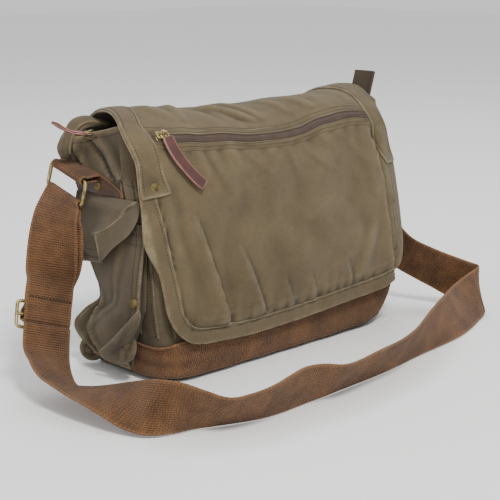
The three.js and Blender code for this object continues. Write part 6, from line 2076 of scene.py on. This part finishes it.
cloth("flap_canvas_top", "stretched", ["bag_shell"], ["left_band_top_cloth", "right_band_top_cloth"])
cloth("flap_canvas_front", "hung", ["flap_canvas_top"], ["left_band_front_cloth", "right_band_front_cloth", "flap_border_seam", "left_flap_rivet_cap", "right_flap_rivet_cap", "flap_zip_tape_upper", "flap_zip_tape_lower", "flap_zip_coil_teeth"])
cloth("flap_lining_cloth", "hung", ["flap_canvas_front"])
cloth("bag_shell", "stretched", ["base_pad"], ["left_side_hem", "right_side_hem"])
cloth("lining_bag", "hung", ["bag_shell"])
cloth("base_webbing", "stretched", ["bag_shell"])
cloth("left_pocket_cloth", "gathered", ["bag_shell"], ["left_pocket_front_welt", "left_pocket_back_welt", "left_pocket_rivet_cap"])
cloth("right_pocket_cloth", "gathered", ["bag_shell"], ["right_pocket_front_welt", "right_pocket_back_welt", "right_pocket_rivet_cap"])
cloth("left_pocket_flap_face", "hung", ["bag_shell"], ["left_pocket_flap_piping"])
cloth("left_pocket_flap_return", "folded", ["left_pocket_flap_face"])
cloth("right_pocket_flap_face", "hung", ["bag_shell"])
cloth("front_facing_cloth", "stretched", ["bag_shell"])
cloth("back_facing_cloth", "stretched", ["bag_shell"])
cloth("zip_end_tab_cloth", "folded", ["zip_tape_front"])
for n_, f_ in (("base_pad", 0.5), ("left_pocket_foot_fold", 0.4), ("left_base_corner_roll", 0.6), ("back_corner_roll", 0.5)):
    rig.padded(PIECES[n_], fill=f_)

# ------------------------------------------------------------------ stage and light
fl_ = bpy.data.meshes.new("floor")
fl_.from_pydata([(-6, -6, -0.0004), (6, -6, -0.0004), (6, 6, -0.0004), (-6, 6, -0.0004)], [], [(0, 1, 2, 3)])
fo = bpy.data.objects.new("floor", fl_)
bpy.context.scene.collection.objects.link(fo)
fm = NT("floor_white")
fm.link(fm.ramp(fm.noise(2.0, 2), [(0, grey(0.90)), (1, grey(0.93))]), fm.bs.inputs["Base Color"])
fm.bs.inputs["Roughness"].default_value = 0.9
fl_.materials.append(fm.m)
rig.stage(fo)

world = bpy.data.worlds.new("world")
bpy.context.scene.world = world
world.use_nodes = True
world.node_tree.nodes["Background"].inputs[0].default_value = (1, 1, 1, 1)
world.node_tree.nodes["Background"].inputs[1].default_value = 0.85


def area(name, loc_, target, size, power, color=(1, 1, 1)):
    l = bpy.data.lights.new(name, "AREA")
    l.shape = "DISK"
    l.size = size
    l.energy = power
    l.color = color
    o = bpy.data.objects.new(name, l)
    o.location = loc_
    from mathutils import Vector
    o.rotation_euler = (Vector(target) - Vector(loc_)).to_track_quat("-Z", "Y").to_euler()
    bpy.context.scene.collection.objects.link(o)


area("key", (-0.8, -1.6, 2.3), (0, 0, 0.12), 0.55, 62, (1.0, 0.985, 0.96))
area("front", (0.9, -2.2, 1.0), (0, 0, 0.1), 1.4, 7)
area("top", (0.9, 0.9, 2.0), (0, 0, 0.1), 1.0, 14)
area("fill_left", (-2.2, 0.4, 1.0), (-0.1, 0, 0.1), 1.0, 3)

_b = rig.bounds()
json.dump({"cad": CAD_BOX, "visual": [[float(v) for v in p] for p in _b]}, open("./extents.json", "w"))
